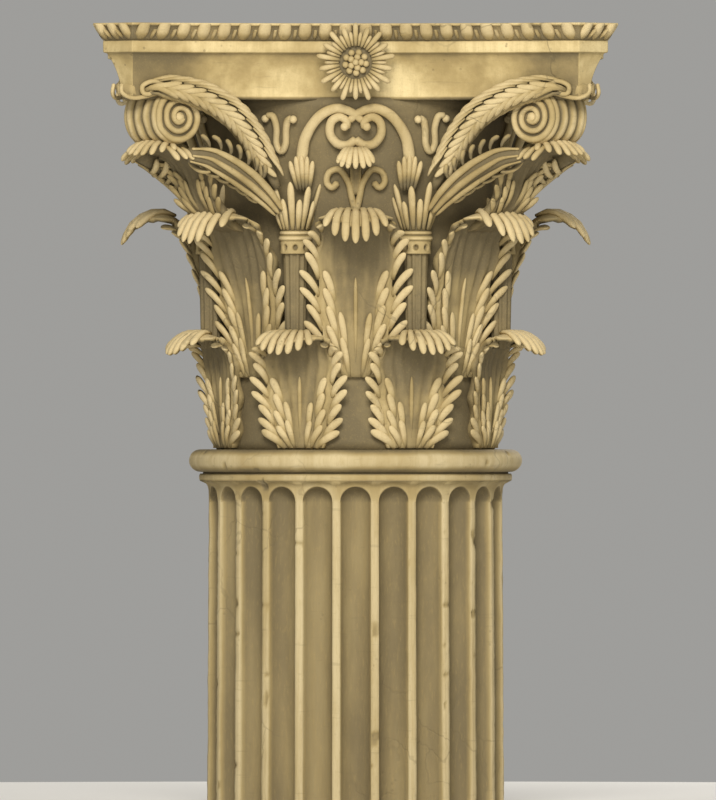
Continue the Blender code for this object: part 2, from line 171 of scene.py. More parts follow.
def make_piece(name, carving, material, node):
    """Puts a stack of arrays into a mesh, hangs it on the root body and hides the solid that it stands
    for.
    """
    points, dirt = carving.joined()
    corners = np.concatenate([part.ravel() for part in carving.faces])
    sizes = np.concatenate([np.full(len(part), part.shape[1]) for part in carving.faces])
    mesh = bpy.data.meshes.new(name)
    mesh.vertices.add(len(points))
    mesh.vertices.foreach_set("co", points.astype(np.float32).ravel())
    mesh.loops.add(len(corners))
    mesh.loops.foreach_set("vertex_index", corners.astype(np.int32))
    mesh.polygons.add(len(sizes))
    mesh.polygons.foreach_set("loop_start", np.concatenate([[0], np.cumsum(sizes)[:-1]]).astype(np.int32))
    # The attribute holds dirt and painted shade: high values are painted dark, low ones pale.
    layer = mesh.attributes.new("dirt", "FLOAT", "POINT")
    layer.data.foreach_set("value", dirt.astype(np.float32))
    mesh.update(calc_edges=True)
    mesh.validate()
    mesh.shade_smooth()
    mesh.materials.append(material)
    piece = bpy.data.objects.new(name, mesh)
    bpy.context.scene.collection.objects.link(piece)
    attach(piece, "root")
    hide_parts(node)
    print(name, int((sizes - 2).sum()), "triangles")
    return piece


# %% [markdown]
# Weathered stone is never quite even. A smooth random field, worked out from the points alone,
# moves surfaces by a fraction of a millimetre and breaks small chips out of edges. It is made
# by hashing the corners of a lattice, so it is the same each run.

# %% Random fields


def field(points, size, seed):
    """Smooth random values, -1 to 1: hashed lattice corners, blended with an eased share."""
    place = np.asarray(points, dtype=float) / size
    corner = np.floor(place).astype(np.int64)
    share = place - corner
    share = share * share * (3 - 2 * share)
    total = 0.0
    for dx in (0, 1):
        for dy in (0, 1):
            for dz in (0, 1):
                x, y, z = (corner[..., k] + d for k, d in enumerate((dx, dy, dz)))
                mixed = (x * 73856093) ^ (y * 19349663) ^ (z * 83492791) ^ (seed * 2654435761)
                mixed = (mixed ^ (mixed >> 13)) * 1274126177
                value = ((mixed ^ (mixed >> 16)) & 0xFFFF) / 32767.5 - 1.0
                weight = 1.0
                for k, d in enumerate((dx, dy, dz)):
                    weight = weight * (share[..., k] if d else 1 - share[..., k])
                total = total + weight * value
    return total


def smoothstep(low, high, x):
    """0 below low, 1 above high, eased between."""
    t = np.clip((x - low) / (high - low), 0.0, 1.0)
    return t * t * (3 - 2 * t)


CURVE_SAMPLES = 160


def curve_at(knots, share):
    """Points at shares (0 to 1) of a smooth curve through the knots (Catmull-Rom)."""
    knots = np.array(knots, dtype=float)
    line = np.vstack([2 * knots[0] - knots[1], knots, 2 * knots[-1] - knots[-2]])
    place = np.clip(share, 0.0, 1.0) * (len(knots) - 1)
    span = np.minimum(place.astype(int), len(knots) - 2)
    t = (place - span)[..., None]
    a, b, c, d = (line[span + k] for k in range(4))
    square, cube = 2 * a - 5 * b + 4 * c - d, 3 * b - a - 3 * c + d
    return 0.5 * (2 * b + (c - a) * t + square * t ** 2 + cube * t ** 3)


def even_curve(knots):
    """The same curve as a table by length: shares of its length and the points there."""
    points = curve_at(knots, np.linspace(0, 1, CURVE_SAMPLES))
    steps = np.linalg.norm(np.diff(points, axis=0), axis=1)
    length = np.concatenate([[0], np.cumsum(steps)])
    return length / length[-1], points


def look_up(table, share):
    """Points of such a table at shares of its length."""
    shares, points = table
    share = np.clip(share, 0.0, 1.0)
    return np.stack([np.interp(share, shares, column) for column in points.T], axis=-1)


# %% [markdown]
# Two kinds of skin make nearly everything. A tube is a stack of rings with a point at each
# end, used for fingers, ribs and scrolls, hundreds at a time. A shell is a sheet with a front,
# a back and a rim, used for the body of a leaf. Both come out closed, with faces outwards.

# %% Closed tubes and shells


def ring_quads(rings, around):
    """Quads between the rings of a stack, and each ring's points in their order, and the next."""
    step = np.arange(around)
    nxt = (step + 1) % around
    low = np.arange(rings - 1)[:, None] * around
    quads = np.stack([low + step, low + nxt, low + around + nxt, low + around + step], axis=-1)
    return quads.reshape(-1, 4), step, nxt


def tube_faces(rings, around):
    """Faces of one tube: quads between rings, and a fan at each pole."""
    quads, step, nxt = ring_quads(rings, around)
    last = (rings - 1) * around
    first_fan = np.stack([nxt, step, np.full(around, rings * around)], axis=-1)
    last_fan = np.stack([last + step, last + nxt, np.full(around, rings * around + 1)], axis=-1)
    return quads, np.vstack([first_fan, last_fan])


def closed_tubes(rings, first_pole, last_pole):
    """Many tubes at once: rings is (tubes, rings, around, 3), and each pole is (tubes, 3)."""
    tubes, count, around, _ = rings.shape
    body = rings.reshape(tubes, count * around, 3)
    points = np.concatenate([body, first_pole[:, None], last_pole[:, None]], axis=1)
    shift = (np.arange(tubes) * points.shape[1])[:, None, None]
    faces = [(part[None] + shift).reshape(-1, part.shape[1]) for part in tube_faces(count, around)]
    return points, faces


def add_tube(carving, rings, poles, dirt, pole_dirt=None):
    """One closed tube from rings (rings, around, 3) and its two poles.

    dirt is one value for all, a column with one for each ring, or one for each point.
    """
    rings = np.asarray(rings)
    points, faces = closed_tubes(rings[None], *(np.reshape(pole, (1, 3)) for pole in poles))
    ends = np.broadcast_to(dirt if pole_dirt is None else pole_dirt, 2)
    carving.add(points, faces, np.append(np.broadcast_to(dirt, rings.shape[:2]), ends))


def shell(front, back):
    """A closed sheet from two grids of equal shape, (rows along, columns across, 3)."""
    rows, columns, _ = front.shape
    ring = np.concatenate([front, back[:, ::-1]], axis=1)
    around = 2 * columns
    sides, _, _ = ring_quads(rows, around)
    i = np.arange(columns - 1)
    start = np.stack([i + 1, i, around - 1 - i, around - 2 - i], axis=-1)
    last = (rows - 1) * around
    end = np.stack([i, i + 1, around - 2 - i, around - 1 - i], axis=-1) + last
    return ring.reshape(-1, 3), [np.vstack([sides, start, end])]


# %% [markdown]
# The carver drew the acanthus with fingers shaped like olives: narrow at the root, full near
# the tip, round at the end. Each one lies on the surface of its leaf. So a leaf is a function
# from across and along to a place in space, and a finger is a tube on a short curve over it.

# %% Fingers on a surface
FINGER_ROOT = 0.50           # width at the root, as a share of the widest
AROUND = 10
STEP = 0.004                 # step across or along a surface that gives its normal


def frame_on(surface, u, v):
    """A surface's points and normals, the normals from small steps across and along."""
    here = surface(u, v)
    across = surface(u + STEP, v) - surface(u - STEP, v)
    along = surface(u, v + STEP) - surface(u, v - STEP)
    return here, unit(np.cross(across, along))


def finger_stations(fullest):
    """Shares along a finger and its width there: eased up to the fullest place, then an ellipse."""
    body = np.linspace(0.0, fullest, 6)
    width = FINGER_ROOT + (1 - FINGER_ROOT) * np.sin(math.pi / 2 * body / fullest)
    turn = np.radians([22, 42, 60, 76])
    tip = fullest + (1 - fullest) * np.sin(turn)
    return np.concatenate([body, tip]), np.concatenate([width, np.cos(turn)])


def rings_about(line, across, up, width, height, around):
    """Oval rings about the points of lines, from the two ways they reach and their half sizes."""
    turn = circle(around)[:, None]
    wide = width[..., None, None] * np.cos(turn)
    high = height[..., None, None] * np.sin(turn)
    return line[..., None, :] + across[..., None, :] * wide + up[..., None, :] * high


def add_fingers(
    carving, surface, start, end, width, height, lift, seed, bend=(0.0, 0.0), wear_and_highlight=0.0, side=1.0,
    fullest=0.76, sink=0.35, soil_and_shade=0.55, grime_and_shade=0.0,
):
    """Olive-shaped fingers over a surface.

    start and end are (count, 2) places across and along. The centre line is a quadratic curve,
    which passes beside the middle by bend. Half width, half height and lift off the surface are
    metres. side -1 lays the fingers on the back. sink is the share of the lift at the root, soil
    the dirt and painted shade there, clean the share of all of it that is taken off, as rubbed wear
    and painted highlight, and grime an even coat of dirt and painted shade.
    """
    count = len(start)
    middle = (start + end) / 2 + bend
    width, height, lift = (np.broadcast_to(x, count) for x in (width, height, lift))
    share, size = finger_stations(fullest)
    t = np.concatenate([share, [1.0]])[None, :, None]
    control = 2 * middle - 0.5 * (start + end)
    way = (1 - t) ** 2 * start[:, None] + 2 * t * (1 - t) * control[:, None] + t ** 2 * end[:, None]
    here, normal = frame_on(surface, way[..., 0], way[..., 1])
    normal = normal * side
    rise = (np.sin(math.pi * np.clip(t, 0, 1) * 0.5) ** 0.7)[..., 0]
    here = here + normal * (lift[:, None] * (sink + (1 - sink) * rise))[..., None]
    along = unit(np.gradient(here, axis=1))[:, :-1]
    across = unit(np.cross(normal[:, :-1], along))
    up = np.cross(along, across)
    rings = rings_about(here[:, :-1], across, up, width[:, None] * size, height[:, None] * size, AROUND)
    rings = rings + 0.0007 * field(rings, 0.012, seed)[..., None] * up[..., None, :]
    points, faces = closed_tubes(rings, here[:, 0], here[:, -1])
    # Painted shade: each finger darkens on its side towards its surface and at its root, where dirt also
    # lies.
    low = np.clip(-np.sin(circle(AROUND)) * 1.4 + 0.2, 0, 1)
    root = soil_and_shade * (1 - smoothstep(0.05, 0.60, share))
    dirt = np.maximum(root[:, None], low[None, :]) * (1 - wear_and_highlight) + grime_and_shade
    dirt = np.concatenate([dirt.ravel(), [soil_and_shade * (1.0 - wear_and_highlight) + grime_and_shade, grime_and_shade]])
    carving.add(points, faces, np.tile(dirt, count))


def add_bars(carving, paths, width, height, facing, dirt, around=10):
    """Round bars along paths (bars, rings, 3): width and height are (bars, rings) half sizes.

    facing is the direction, at each point, in which the bar's height is measured.
    """
    bars, rings_count, _ = paths.shape
    width, height, dirt = (np.broadcast_to(x, (bars, rings_count)) for x in (width, height, dirt))
    along = unit(np.gradient(paths, axis=1))
    across = unit(np.cross(facing, along))
    rings = rings_about(paths, across, np.cross(along, across), width, height, around)
    rings = rings + 0.0006 * field(rings, 0.02, 5)[..., None]
    cap = along * np.minimum(width, height)[..., None] * 0.5
    points, faces = closed_tubes(rings, paths[:, 0] - cap[:, 0], paths[:, -1] + cap[:, -1])
    # Painted shade: the half of each bar turned away from its facing is darkened.
    low = np.clip(-np.sin(circle(around)) * 1.2, 0, 1)
    soil_and_shade = np.maximum(dirt[..., None], low[None, None, :]).reshape(bars, -1)
    soil_and_shade = np.concatenate([soil_and_shade, dirt[:, :1], dirt[:, -1:]], axis=1)
    carving.add(points, faces, soil_and_shade)


# %% [markdown]
# A leaf climbs the bell, leans out and hangs over. Its spine is a curve in the upright plane,
# out from the bell and up, close to the one in the solid. The sides wrap round the bell, and at
# the shoulder they come forward, so that the middle of the leaf is a shaded hollow.

# %% Acanthus leaf
LEAF_OFF_BELL = 0.003
SHEET = 0.007                # half thickness of a leaf's sheet
SHEET_END = 0.92             # how far along the leaf the sheet goes; the fringe goes on from there
RIB_HEIGHT = 0.0026          # height of the fine ribs in its hollow
LOWER_LEAF = dict(
    root=0.003, top=0.270, reach=0.336, widths=(0.062, 0.080, 0.076, 0.042), hood=0.022, droop=0.016,
    spine=((0, 0), (0, 0.45), (0.02, 0.74), (0.18, 0.93), (0.50, 1.0), (0.82, 0.93), (1.0, 0.80)),
    lobes=5, outer=(9, 0.10, 0.77), middle=(4, 0.14, 0.42), inner=(2, 0.17, 0.28), slope=0.135,
    fringe=7, spread=0.82, fringe_root=0.72, halves=(0.0068, 0.0066, 0.0064),
)
UPPER_LEAF = dict(
    root=0.17, top=0.556, reach=0.391, widths=(0.064, 0.086, 0.080, 0.046), hood=0.024, droop=0.020,
    spine=((0, 0), (0.01, 0.38), (0.08, 0.66), (0.24, 0.90), (0.53, 1.0), (0.84, 0.94), (1.0, 0.80)),
    lobes=5, outer=(9, 0.17, 0.77), middle=(5, 0.15, 0.46), inner=(2, 0.17, 0.28), slope=0.125,
    fringe=7, spread=0.82, fringe_root=0.72, halves=(0.0068, 0.0066, 0.0070),
)
CORNER_LEAF = dict(
    root=0.515, top=0.714, reach=0.514, widths=(0.022, 0.050, 0.056, 0.052), hood=0.006, droop=0.017,
    spine=((0, 0), (0.30, 0.12), (0.42, 0.40), (0.47, 0.68), (0.60, 0.90), (0.86, 1.0), (1.0, 0.84)),
    lobes=5, outer=(5, 0.42, 0.68), middle=(4, 0.42, 0.58), inner=(1, 0.52, 0.52), slope=0.10,
    fringe=8, spread=0.90, fringe_root=0.80, halves=(0.0058, 0.0054, 0.0058),
)


def leaf_surface(leaf):
    """The leaf as a function: spine(along), turned about the axis by across * width / radius."""
    table = even_curve(leaf["spine"])
    dense = look_up(table, np.linspace(0, 1, 200))
    root, top = leaf["root"] * CAPITAL_HEIGHT, leaf["top"] * CAPITAL_HEIGHT
    high = root + (top - root) * dense[:, 1]
    start = bell_radius(high) + LEAF_OFF_BELL
    out = start + (leaf["reach"] - start) * dense[:, 0]
    steps = np.hypot(np.diff(out), np.diff(high))
    length = np.concatenate([[0], np.cumsum(steps)])
    share = length / length[-1]

    def surface(u, v):
        over = np.clip(v, 0.0, 1.0)
        radius = np.interp(over, share, out)
        height = np.interp(over, share, high)
        width = curve_at(np.reshape(leaf["widths"], (-1, 1)), over)[..., 0]
        turn = u * width / radius
        radius = radius + leaf["hood"] * u ** 2 * np.sin(math.pi * over) ** 2
        height = height - leaf["droop"] * np.abs(u) ** 2.4 * smoothstep(0.55, 0.85, v)
        return about_axis(radius, turn, height)

    return surface


def leaf_sheet(carving, surface, lobes, grime_and_shade=0.0, columns=25, rows=41):
    """The leaf's body: a thin shell with its edge drawn in between the lobes, ribbed in front."""
    v, u = np.meshgrid(np.linspace(0, SHEET_END, rows), np.linspace(-1, 1, columns), indexing="ij")
    aside = np.abs(u)
    notch = 0.5 + 0.5 * np.cos(2 * math.pi * lobes * v)
    u_edge = u * (0.84 - 0.16 * notch * aside ** 3)
    v_edge = v - 0.14 * aside ** 1.6 * smoothstep(0.7, 1.0, v / SHEET_END)
    here, normal = frame_on(surface, u_edge, v_edge)
    ribs = RIB_HEIGHT * np.cos(2 * math.pi * (3.5 * aside - 2.0 * v)) * smoothstep(0.02, 0.2, aside)
    half = SHEET * (1 - 0.55 * smoothstep(0.45, 0.75, v))
    front = here + normal * (half + ribs)[..., None]
    back = here - normal * half[..., None]
    points, faces = shell(front, back)
    # Painted shade and highlight: the sheet is darkest under the hood, lighter on raised ribs and on the
    # sides that come forward; grime darkens its lower part, and the rim is darker low down.
    hollow = 0.62 + 0.38 * smoothstep(0.25, 0.60, v) - 0.12 * smoothstep(0.0, RIB_HEIGHT, ribs)
    hollow = hollow - 0.22 * smoothstep(0.40, 0.85, aside) * smoothstep(0.80, 0.50, v)
    hollow = np.clip(hollow + 1.5 * grime_and_shade * smoothstep(0.80, 0.60, v), 0.0, 1.0)
    ring = np.concatenate([hollow, 0.55 + grime_and_shade - 0.40 * smoothstep(0.60, 0.80, v)], axis=1)
    carving.add(points, faces, ring)


def finger_row(carving, surface, count, tips, edge, inset, slope, width, lift, wear_and_highlight, seed, grime_and_shade):
    """A row of fingers on both sides of a leaf.

    tips are the first and last height of the tips, edge and inset how far out the fingers end and
    how far inwards they start, slope how far down they start. Every third finger falls a little
    short, which parts the edge into lobes. The lowest ones run together at the root, as a fan.
    """
    tip = np.linspace(*tips, count)
    low = smoothstep(0.0, 0.30, tip)
    lobe = np.where(np.arange(count) % 3 == 2, 0.09, 0.0)
    for side in (-1, 1):
        spots = np.column_stack([tip * 9, np.full(count, side * 3.0), np.full(count, seed)])
        jitter = field(spots, 1.0, seed)
        out = edge * (0.94 + 0.06 * low - lobe) + 0.03 * jitter
        root = out * 0.35 + (edge - inset - out * 0.35) * low
        add_fingers(
            carving, surface, pairs(side * root, np.maximum(tip - slope, 0.0)),
            pairs(side * out, tip + 0.010 * jitter), width * (1 + 0.12 * jitter), width * 0.62, lift,
            bend=(-0.04 * edge * side, 0.004), wear_and_highlight=wear_and_highlight, seed=seed, grime_and_shade=grime_and_shade,
        )


MIDRIB = ((0.0, 0.0), (0.0, 0.43), 0.0038, 0.0080)   # root, tip, half width, lift
FAN = 72                     # degrees that the outermost finger of a fringe leans
DROP = 0.17


def fringe(carving, surface, leaf, seed):
    """The broad fingers that hang over the leaf's lip, on its outer side.

    They open like a fan: each leans by an angle from -FAN to FAN degrees, its tip lies at the
    sine of that angle across, and falls short of the middle one by DROP * (1 - cosine).
    """
    lean = np.radians(np.linspace(-FAN, FAN, leaf["fringe"]))
    across = leaf["spread"] * np.sin(lean) / math.sin(math.radians(FAN))
    width = leaf["halves"][-1]
    start = pairs(across * 0.28, leaf["fringe_root"])
    end = pairs(across, 1.0 - DROP * (1 - np.cos(lean)))
    # The hanging fingers are cleaned hardest and stay pale: rubbed wear and painted highlight.
    add_fingers(
        carving, surface, start, end, width, width * 0.80, lift=0.0065, seed=seed,
        bend=pairs(across * 0.02, 0.0), wear_and_highlight=0.60, side=-1.0, fullest=0.82, sink=1.0,
    )


def acanthus(leaf, midrib=True, grime_and_shade=0.0):
    """One leaf at the front of the column: sheet, midrib, three rows of fingers and the fringe.

    The leaf's outer, middle and inner are (count, lowest tip, highest tip) of the rows on each
    side, slope how far down their fingers start, and halves their half widths and the fringe's.
    """
    carving = Carving()
    surface = leaf_surface(leaf)
    outer_half, middle_half, _ = leaf["halves"]
    leaf_sheet(carving, surface, leaf["lobes"], grime_and_shade)
    # Painted shade: the midrib and the rows deeper in the leaf get an even dark coat.
    if midrib:
        root, tip, half, lift = MIDRIB
        start, end = np.array([root]), np.array([tip])
        add_fingers(carving, surface, start, end, half, half, lift, wear_and_highlight=0.15, seed=11, grime_and_shade=0.30)
    for row, edge, inset, slope, half, lift, wear_and_highlight, seed, coat in (
        ("outer", 1.04, 0.34, leaf["slope"], outer_half, 0.0100, 0.15, 3, 0.0),
        ("middle", 0.60, 0.20, leaf["slope"] * 1.25, middle_half, 0.0120, 0.10, 7, 0.06),
        ("inner", 0.31, 0.10, 0.20, middle_half * 0.9, 0.0130, 0.05, 8, 0.10),
    ):
        count, *tips = leaf[row]
        coat = coat + grime_and_shade
        finger_row(carving, surface, count, tips, edge, inset, slope, half, lift, wear_and_highlight, seed, coat)
    fringe(carving, surface, leaf, 9)
    return carving


# %% [markdown]
# One finish serves the whole object, so it is built from shared node groups. Stone has a
# mottled body, a fine grain, pits and hair cracks, and dirt that fills what the chisel left
# low. The groups give out masks and heights; each material mixes its own colours with them.

# %% Node helpers


def new_group(name, inputs, outputs):
    tree = bpy.data.node_groups.new(name, "ShaderNodeTree")
    for label, kind, value in inputs:
        socket = tree.interface.new_socket(label, in_out="INPUT", socket_type=kind)
        if value is not None:
            socket.default_value = value
    for label, kind in outputs:
        tree.interface.new_socket(label, in_out="OUTPUT", socket_type=kind)
    return tree, tree.nodes.new("NodeGroupInput"), tree.nodes.new("NodeGroupOutput")


def node(tree, kind, settings=(), **inputs):
    """A node with its settings, and its inputs set to values or linked to sockets."""
    made = tree.nodes.new(kind)
    for key, value in settings:
        setattr(made, key, value)
    for key, value in inputs.items():
        numbered = key[0] == "i" and key[1:].isdigit()
        socket = made.inputs[int(key[1:]) if numbered else key.replace("_", " ")]
        if isinstance(value, bpy.types.NodeSocket):
            tree.links.new(value, socket)
        else:
            socket.default_value = value
    return made


def maths(tree, operation, *values, clamp=False):
    sockets = {f"i{k}": value for k, value in enumerate(values)}
    settings = (("operation", operation), ("use_clamp", clamp))
    return node(tree, "ShaderNodeMath", settings, **sockets).outputs[0]


def times(tree, first, second, clamp=False):
    return maths(tree, "MULTIPLY", first, second, clamp=clamp)


def blend(tree, first, second, share):
    """first and second added up by share and the rest."""
    return maths(tree, "ADD", times(tree, first, share), times(tree, second, 1 - share))


def inverse(tree, value):
    return maths(tree, "SUBTRACT", 1.0, value)


def ramp(tree, value, low, high):
    """0 below low, 1 above high, eased between."""
    made = node(tree, "ShaderNodeMapRange", (("interpolation_type", "SMOOTHSTEP"),), Value=value)
    made.inputs["From Min"].default_value = low
    made.inputs["From Max"].default_value = high
    return made.outputs["Result"]


def noise(tree, vector, scale, detail, rough=0.55):
    values = dict(Vector=vector, Scale=scale, Detail=detail, Roughness=rough)
    return node(tree, "ShaderNodeTexNoise", **values).outputs["Fac"]


def mixed(tree, factor, first, second):
    made = node(tree, "ShaderNodeMix", (("data_type", "RGBA"),), i0=factor)
    for socket, value in ((made.inputs[6], first), (made.inputs[7], second)):
        if isinstance(value, bpy.types.NodeSocket):
            tree.links.new(value, socket)
        else:
            socket.default_value = value
    return made.outputs[2]


# %% Shared groups: grain, blemishes, streaks


def grain_group():
    """Mottled body and fine grain of the stone."""
    tree, enter, leave = new_group(
        "Stone grain", [("Vector", "NodeSocketVector", None)],
        [("Mottle", "NodeSocketFloat"), ("Grain", "NodeSocketFloat"), ("Height", "NodeSocketFloat")],
    )
    where = enter.outputs["Vector"]
    broad = ramp(tree, noise(tree, where, 9.0, 5.0), 0.35, 0.68)
    middle = noise(tree, where, 46.0, 5.0, 0.6)
    fine = noise(tree, where, 330.0, 3.0, 0.6)
    tree.links.new(blend(tree, broad, middle, 0.6), leave.inputs["Mottle"])
    tree.links.new(fine, leave.inputs["Grain"])
    tree.links.new(blend(tree, middle, fine, 0.7), leave.inputs["Height"])
    return tree


def blemish_group():
    """Pits, speckles and hair cracks, each 1 where the stone is broken."""
    tree, enter, leave = new_group(
        "Stone blemishes", [("Vector", "NodeSocketVector", None), ("Amount", "NodeSocketFloat", 1.0)],
        [("Pits", "NodeSocketFloat"), ("Cracks", "NodeSocketFloat")],
    )
    where = enter.outputs["Vector"]
    spots = node(tree, "ShaderNodeTexVoronoi", Vector=where, Scale=75.0).outputs["Distance"]
    patch = ramp(tree, noise(tree, where, 13.0, 4.0), 0.50, 0.66)
    pits = times(tree, inverse(tree, ramp(tree, spots, 0.10, 0.24)), patch)
    bent = node(tree, "ShaderNodeTexNoise", Vector=where, Scale=16.0, Detail=3.0).outputs["Color"]
    add = (("operation", "MULTIPLY_ADD"),)
    moved = node(tree, "ShaderNodeVectorMath", add, i0=bent, i1=(0.07, 0.07, 0.07), i2=where).outputs[0]
    to_edge = (("feature", "DISTANCE_TO_EDGE"),)
    edges = node(tree, "ShaderNodeTexVoronoi", to_edge, Vector=moved, Scale=6.5).outputs["Distance"]
    some = ramp(tree, noise(tree, where, 4.0, 2.0), 0.50, 0.60)
    cracks = times(tree, inverse(tree, ramp(tree, edges, 0.003, 0.014)), some)
    for label, value in (("Pits", pits), ("Cracks", cracks)):
        tree.links.new(times(tree, value, enter.outputs["Amount"], clamp=True), leave.inputs[label])
    return tree


def streak_group():
    """Upright streaks that water and dust leave, and fine level scratches across them."""
    tree, enter, leave = new_group(
        "Stone streaks", [("Vector", "NodeSocketVector", None)],
        [("Streaks", "NodeSocketFloat"), ("Scratches", "NodeSocketFloat")],
    )
    where = enter.outputs["Vector"]
    tall = node(tree, "ShaderNodeMapping", Vector=where, Scale=(1.0, 1.0, 0.06)).outputs[0]
    flat = node(tree, "ShaderNodeMapping", Vector=where, Scale=(0.10, 0.10, 1.0)).outputs[0]
    tree.links.new(ramp(tree, noise(tree, tall, 85.0, 4.0, 0.65), 0.40, 0.72), leave.inputs["Streaks"])
    tree.links.new(ramp(tree, noise(tree, flat, 150.0, 3.0, 0.6), 0.60, 0.74), leave.inputs["Scratches"])
    return tree


GRAIN, BLEMISH, STREAK = grain_group(), blemish_group(), streak_group()
print("node groups:", GRAIN.name, BLEMISH.name, STREAK.name)

# %% [markdown]
# The material reads the dirt and painted shade that each point carries, breaks its edge up with
# noise, and lays a dark brown-olive wash there. Above it the stone runs from ochre to a pale
# cream where hands and weather have rubbed it and where highlight is painted on tips and tops.
# Stone doesn't shine, so the roughness stays high.

# %% Stone material
PALE = (0.640, 0.518, 0.287, 1.0)
BODY = (0.43, 0.335, 0.158, 1.0)
DRESSED_PALE = (0.745, 0.611, 0.327, 1.0)
DRESSED_BODY = (0.53, 0.41, 0.188, 1.0)
# The fluted stone is the same limestone in darker tones; the darkening is partly painted shade.
FLUTED_PALE = (0.565, 0.466, 0.267, 1.0)
FLUTED_BODY = (0.350, 0.281, 0.141, 1.0)
WARM = (0.37, 0.275, 0.115, 1.0)
SOOT_AND_SHADE = (0.165, 0.131, 0.069, 1.0)
# The mottling moves the edge of the painted shade as well as of the dirt.
UNEVEN = 0.55                # how far the mottling moves the edge of the dirt
SMOOTHEST = 0.66             # the lowest roughness
BUMP_HEIGHT = 0.0022
SHEEN = 0.25


def stone(name, pale, body, streak_share, blemish, drawn_down=0.0):
    """Limestone of two tones. drawn_down 1 stretches the mottling into upright stains."""
    material = bpy.data.materials.new(name)
    material.use_nodes = True
    tree = material.node_tree
    shader = tree.nodes["Principled BSDF"]
    where = tree.nodes.new("ShaderNodeTexCoord").outputs["Object"]
    stretch = (1.0, 1.0, 1.0 - 0.8 * drawn_down)
    drawn = node(tree, "ShaderNodeMapping", Vector=where, Scale=stretch).outputs[0]
    grain = node(tree, "ShaderNodeGroup", (("node_tree", GRAIN),), Vector=drawn).outputs
    marks = node(tree, "ShaderNodeGroup", (("node_tree", BLEMISH),), Vector=where, Amount=blemish).outputs
    lines = node(tree, "ShaderNodeGroup", (("node_tree", STREAK),), Vector=where).outputs
    dirt = node(tree, "ShaderNodeAttribute", (("attribute_name", "dirt"),)).outputs["Fac"]
    uneven = times(tree, maths(tree, "SUBTRACT", grain["Mottle"], 0.5), UNEVEN)
    loose = maths(tree, "ADD", dirt, uneven)
    # Pale where dirt and painted shade are low, as rubbed wear and painted highlight; the soot tone,
    # below, where they are high.
    rubbed_and_lit = inverse(tree, ramp(tree, loose, -0.15, 0.42))
    broken = maths(tree, "MAXIMUM", marks["Pits"], marks["Cracks"])
    colour = mixed(tree, grain["Mottle"], body, WARM)
    for mask, share, tone in (
        (rubbed_and_lit, 0.95, pale),
        (lines["Streaks"], streak_share, WARM),
        (lines["Scratches"], 0.22, SOOT_AND_SHADE),
        (ramp(tree, loose, 0.22, 0.95), 1.0, SOOT_AND_SHADE),
        (ramp(tree, grain["Grain"], 0.52, 0.70), 0.22, WARM),
        (broken, 0.85, SOOT_AND_SHADE),
    ):
        colour = mixed(tree, times(tree, mask, share), colour, tone)
    tree.links.new(colour, shader.inputs["Base Color"])
    rough = maths(tree, "ADD", SMOOTHEST, times(tree, grain["Grain"], 0.22))
    tree.links.new(rough, shader.inputs["Roughness"])
    height = maths(tree, "SUBTRACT", grain["Height"], times(tree, broken, 0.8))
    bump = node(tree, "ShaderNodeBump", Height=height, Strength=0.55, Distance=BUMP_HEIGHT)
    tree.links.new(bump.outputs["Normal"], shader.inputs["Normal"])
    shader.inputs["Specular IOR Level"].default_value = SHEEN
    return material


CARVED = stone("carved limestone", PALE, BODY, 0.20, 0.45)
DRESSED = stone("dressed limestone", DRESSED_PALE, DRESSED_BODY, 0.35, 0.6)
FLUTED = stone("fluted limestone", FLUTED_PALE, FLUTED_BODY, 0.45, 0.35, drawn_down=1.0)


def capital_piece(name, carving, material=CARVED):
    make_piece(name, carving, material, "capital")


# %% [markdown]
# The shaft is a height field round the axis. Its columns of points follow the arcs of the
# flutes, so the sharp fillets between them stay sharp, and the rows in a flute's head follow
# its round end. Above it come the flare, the cincture, a groove and the astragal.

# %% Fluted shaft
SHAFT_RADIUS = 0.250
SHAFT_TAPER = 0.003
SHAFT_LENGTH = 0.547
FLUTES = 24
FLUTE_SHARE = 0.80
FLUTE_MARGIN = 0.010
APOPHYGE = 0.015
CINCTURE_HEIGHT = 0.012
GROOVE = 0.003
ASTRAGAL_HEIGHT = SHAFT_TOP - SHAFT_LENGTH - CINCTURE_HEIGHT - GROOVE
ASTRAGAL_REACH = float(shaft_high[0])
FLUTE_RADIUS = FLUTE_SHARE * math.pi * SHAFT_RADIUS / FLUTES
ARC_STEPS, FILLET_STEPS = 14, 3
ROW_GAP = 0.0005             # keeps the rows above a flute's head apart
CINCTURE_BOW = 0.0015
CINCTURE_INSET = 0.001
BED_HOLE = 0.03              # radius of the last ring on the upper bed


def shaft_columns():
    """Turn about the axis and how deep the flute is there, as a share, for all flutes."""
    arc = np.linspace(-90, 90, ARC_STEPS + 1)
    across = FLUTE_RADIUS * np.sin(np.radians(arc)) / SHAFT_RADIUS
    pitch = 2 * math.pi / FLUTES
    edge = across[-1]
    fillet = np.linspace(edge, pitch - edge, FILLET_STEPS + 1)[1:-1]
    turn = np.concatenate([across, fillet])
    open_ = np.concatenate([np.cos(np.radians(arc)), np.zeros(len(fillet))])
    turns = (turn[None] + pitch * np.arange(FLUTES)[:, None]).ravel()
    return turns, np.tile(open_, FLUTES)


def outer(z):
    """The shaft's radius: its taper, and a quarter circle that flares out under the cincture."""
    up = np.clip(z - (SHAFT_LENGTH - APOPHYGE), 0, APOPHYGE)
    flare = APOPHYGE - np.sqrt(np.maximum(APOPHYGE ** 2 - up ** 2, 0))
    return SHAFT_RADIUS + SHAFT_TAPER * (1 - z / SHAFT_LENGTH) + flare


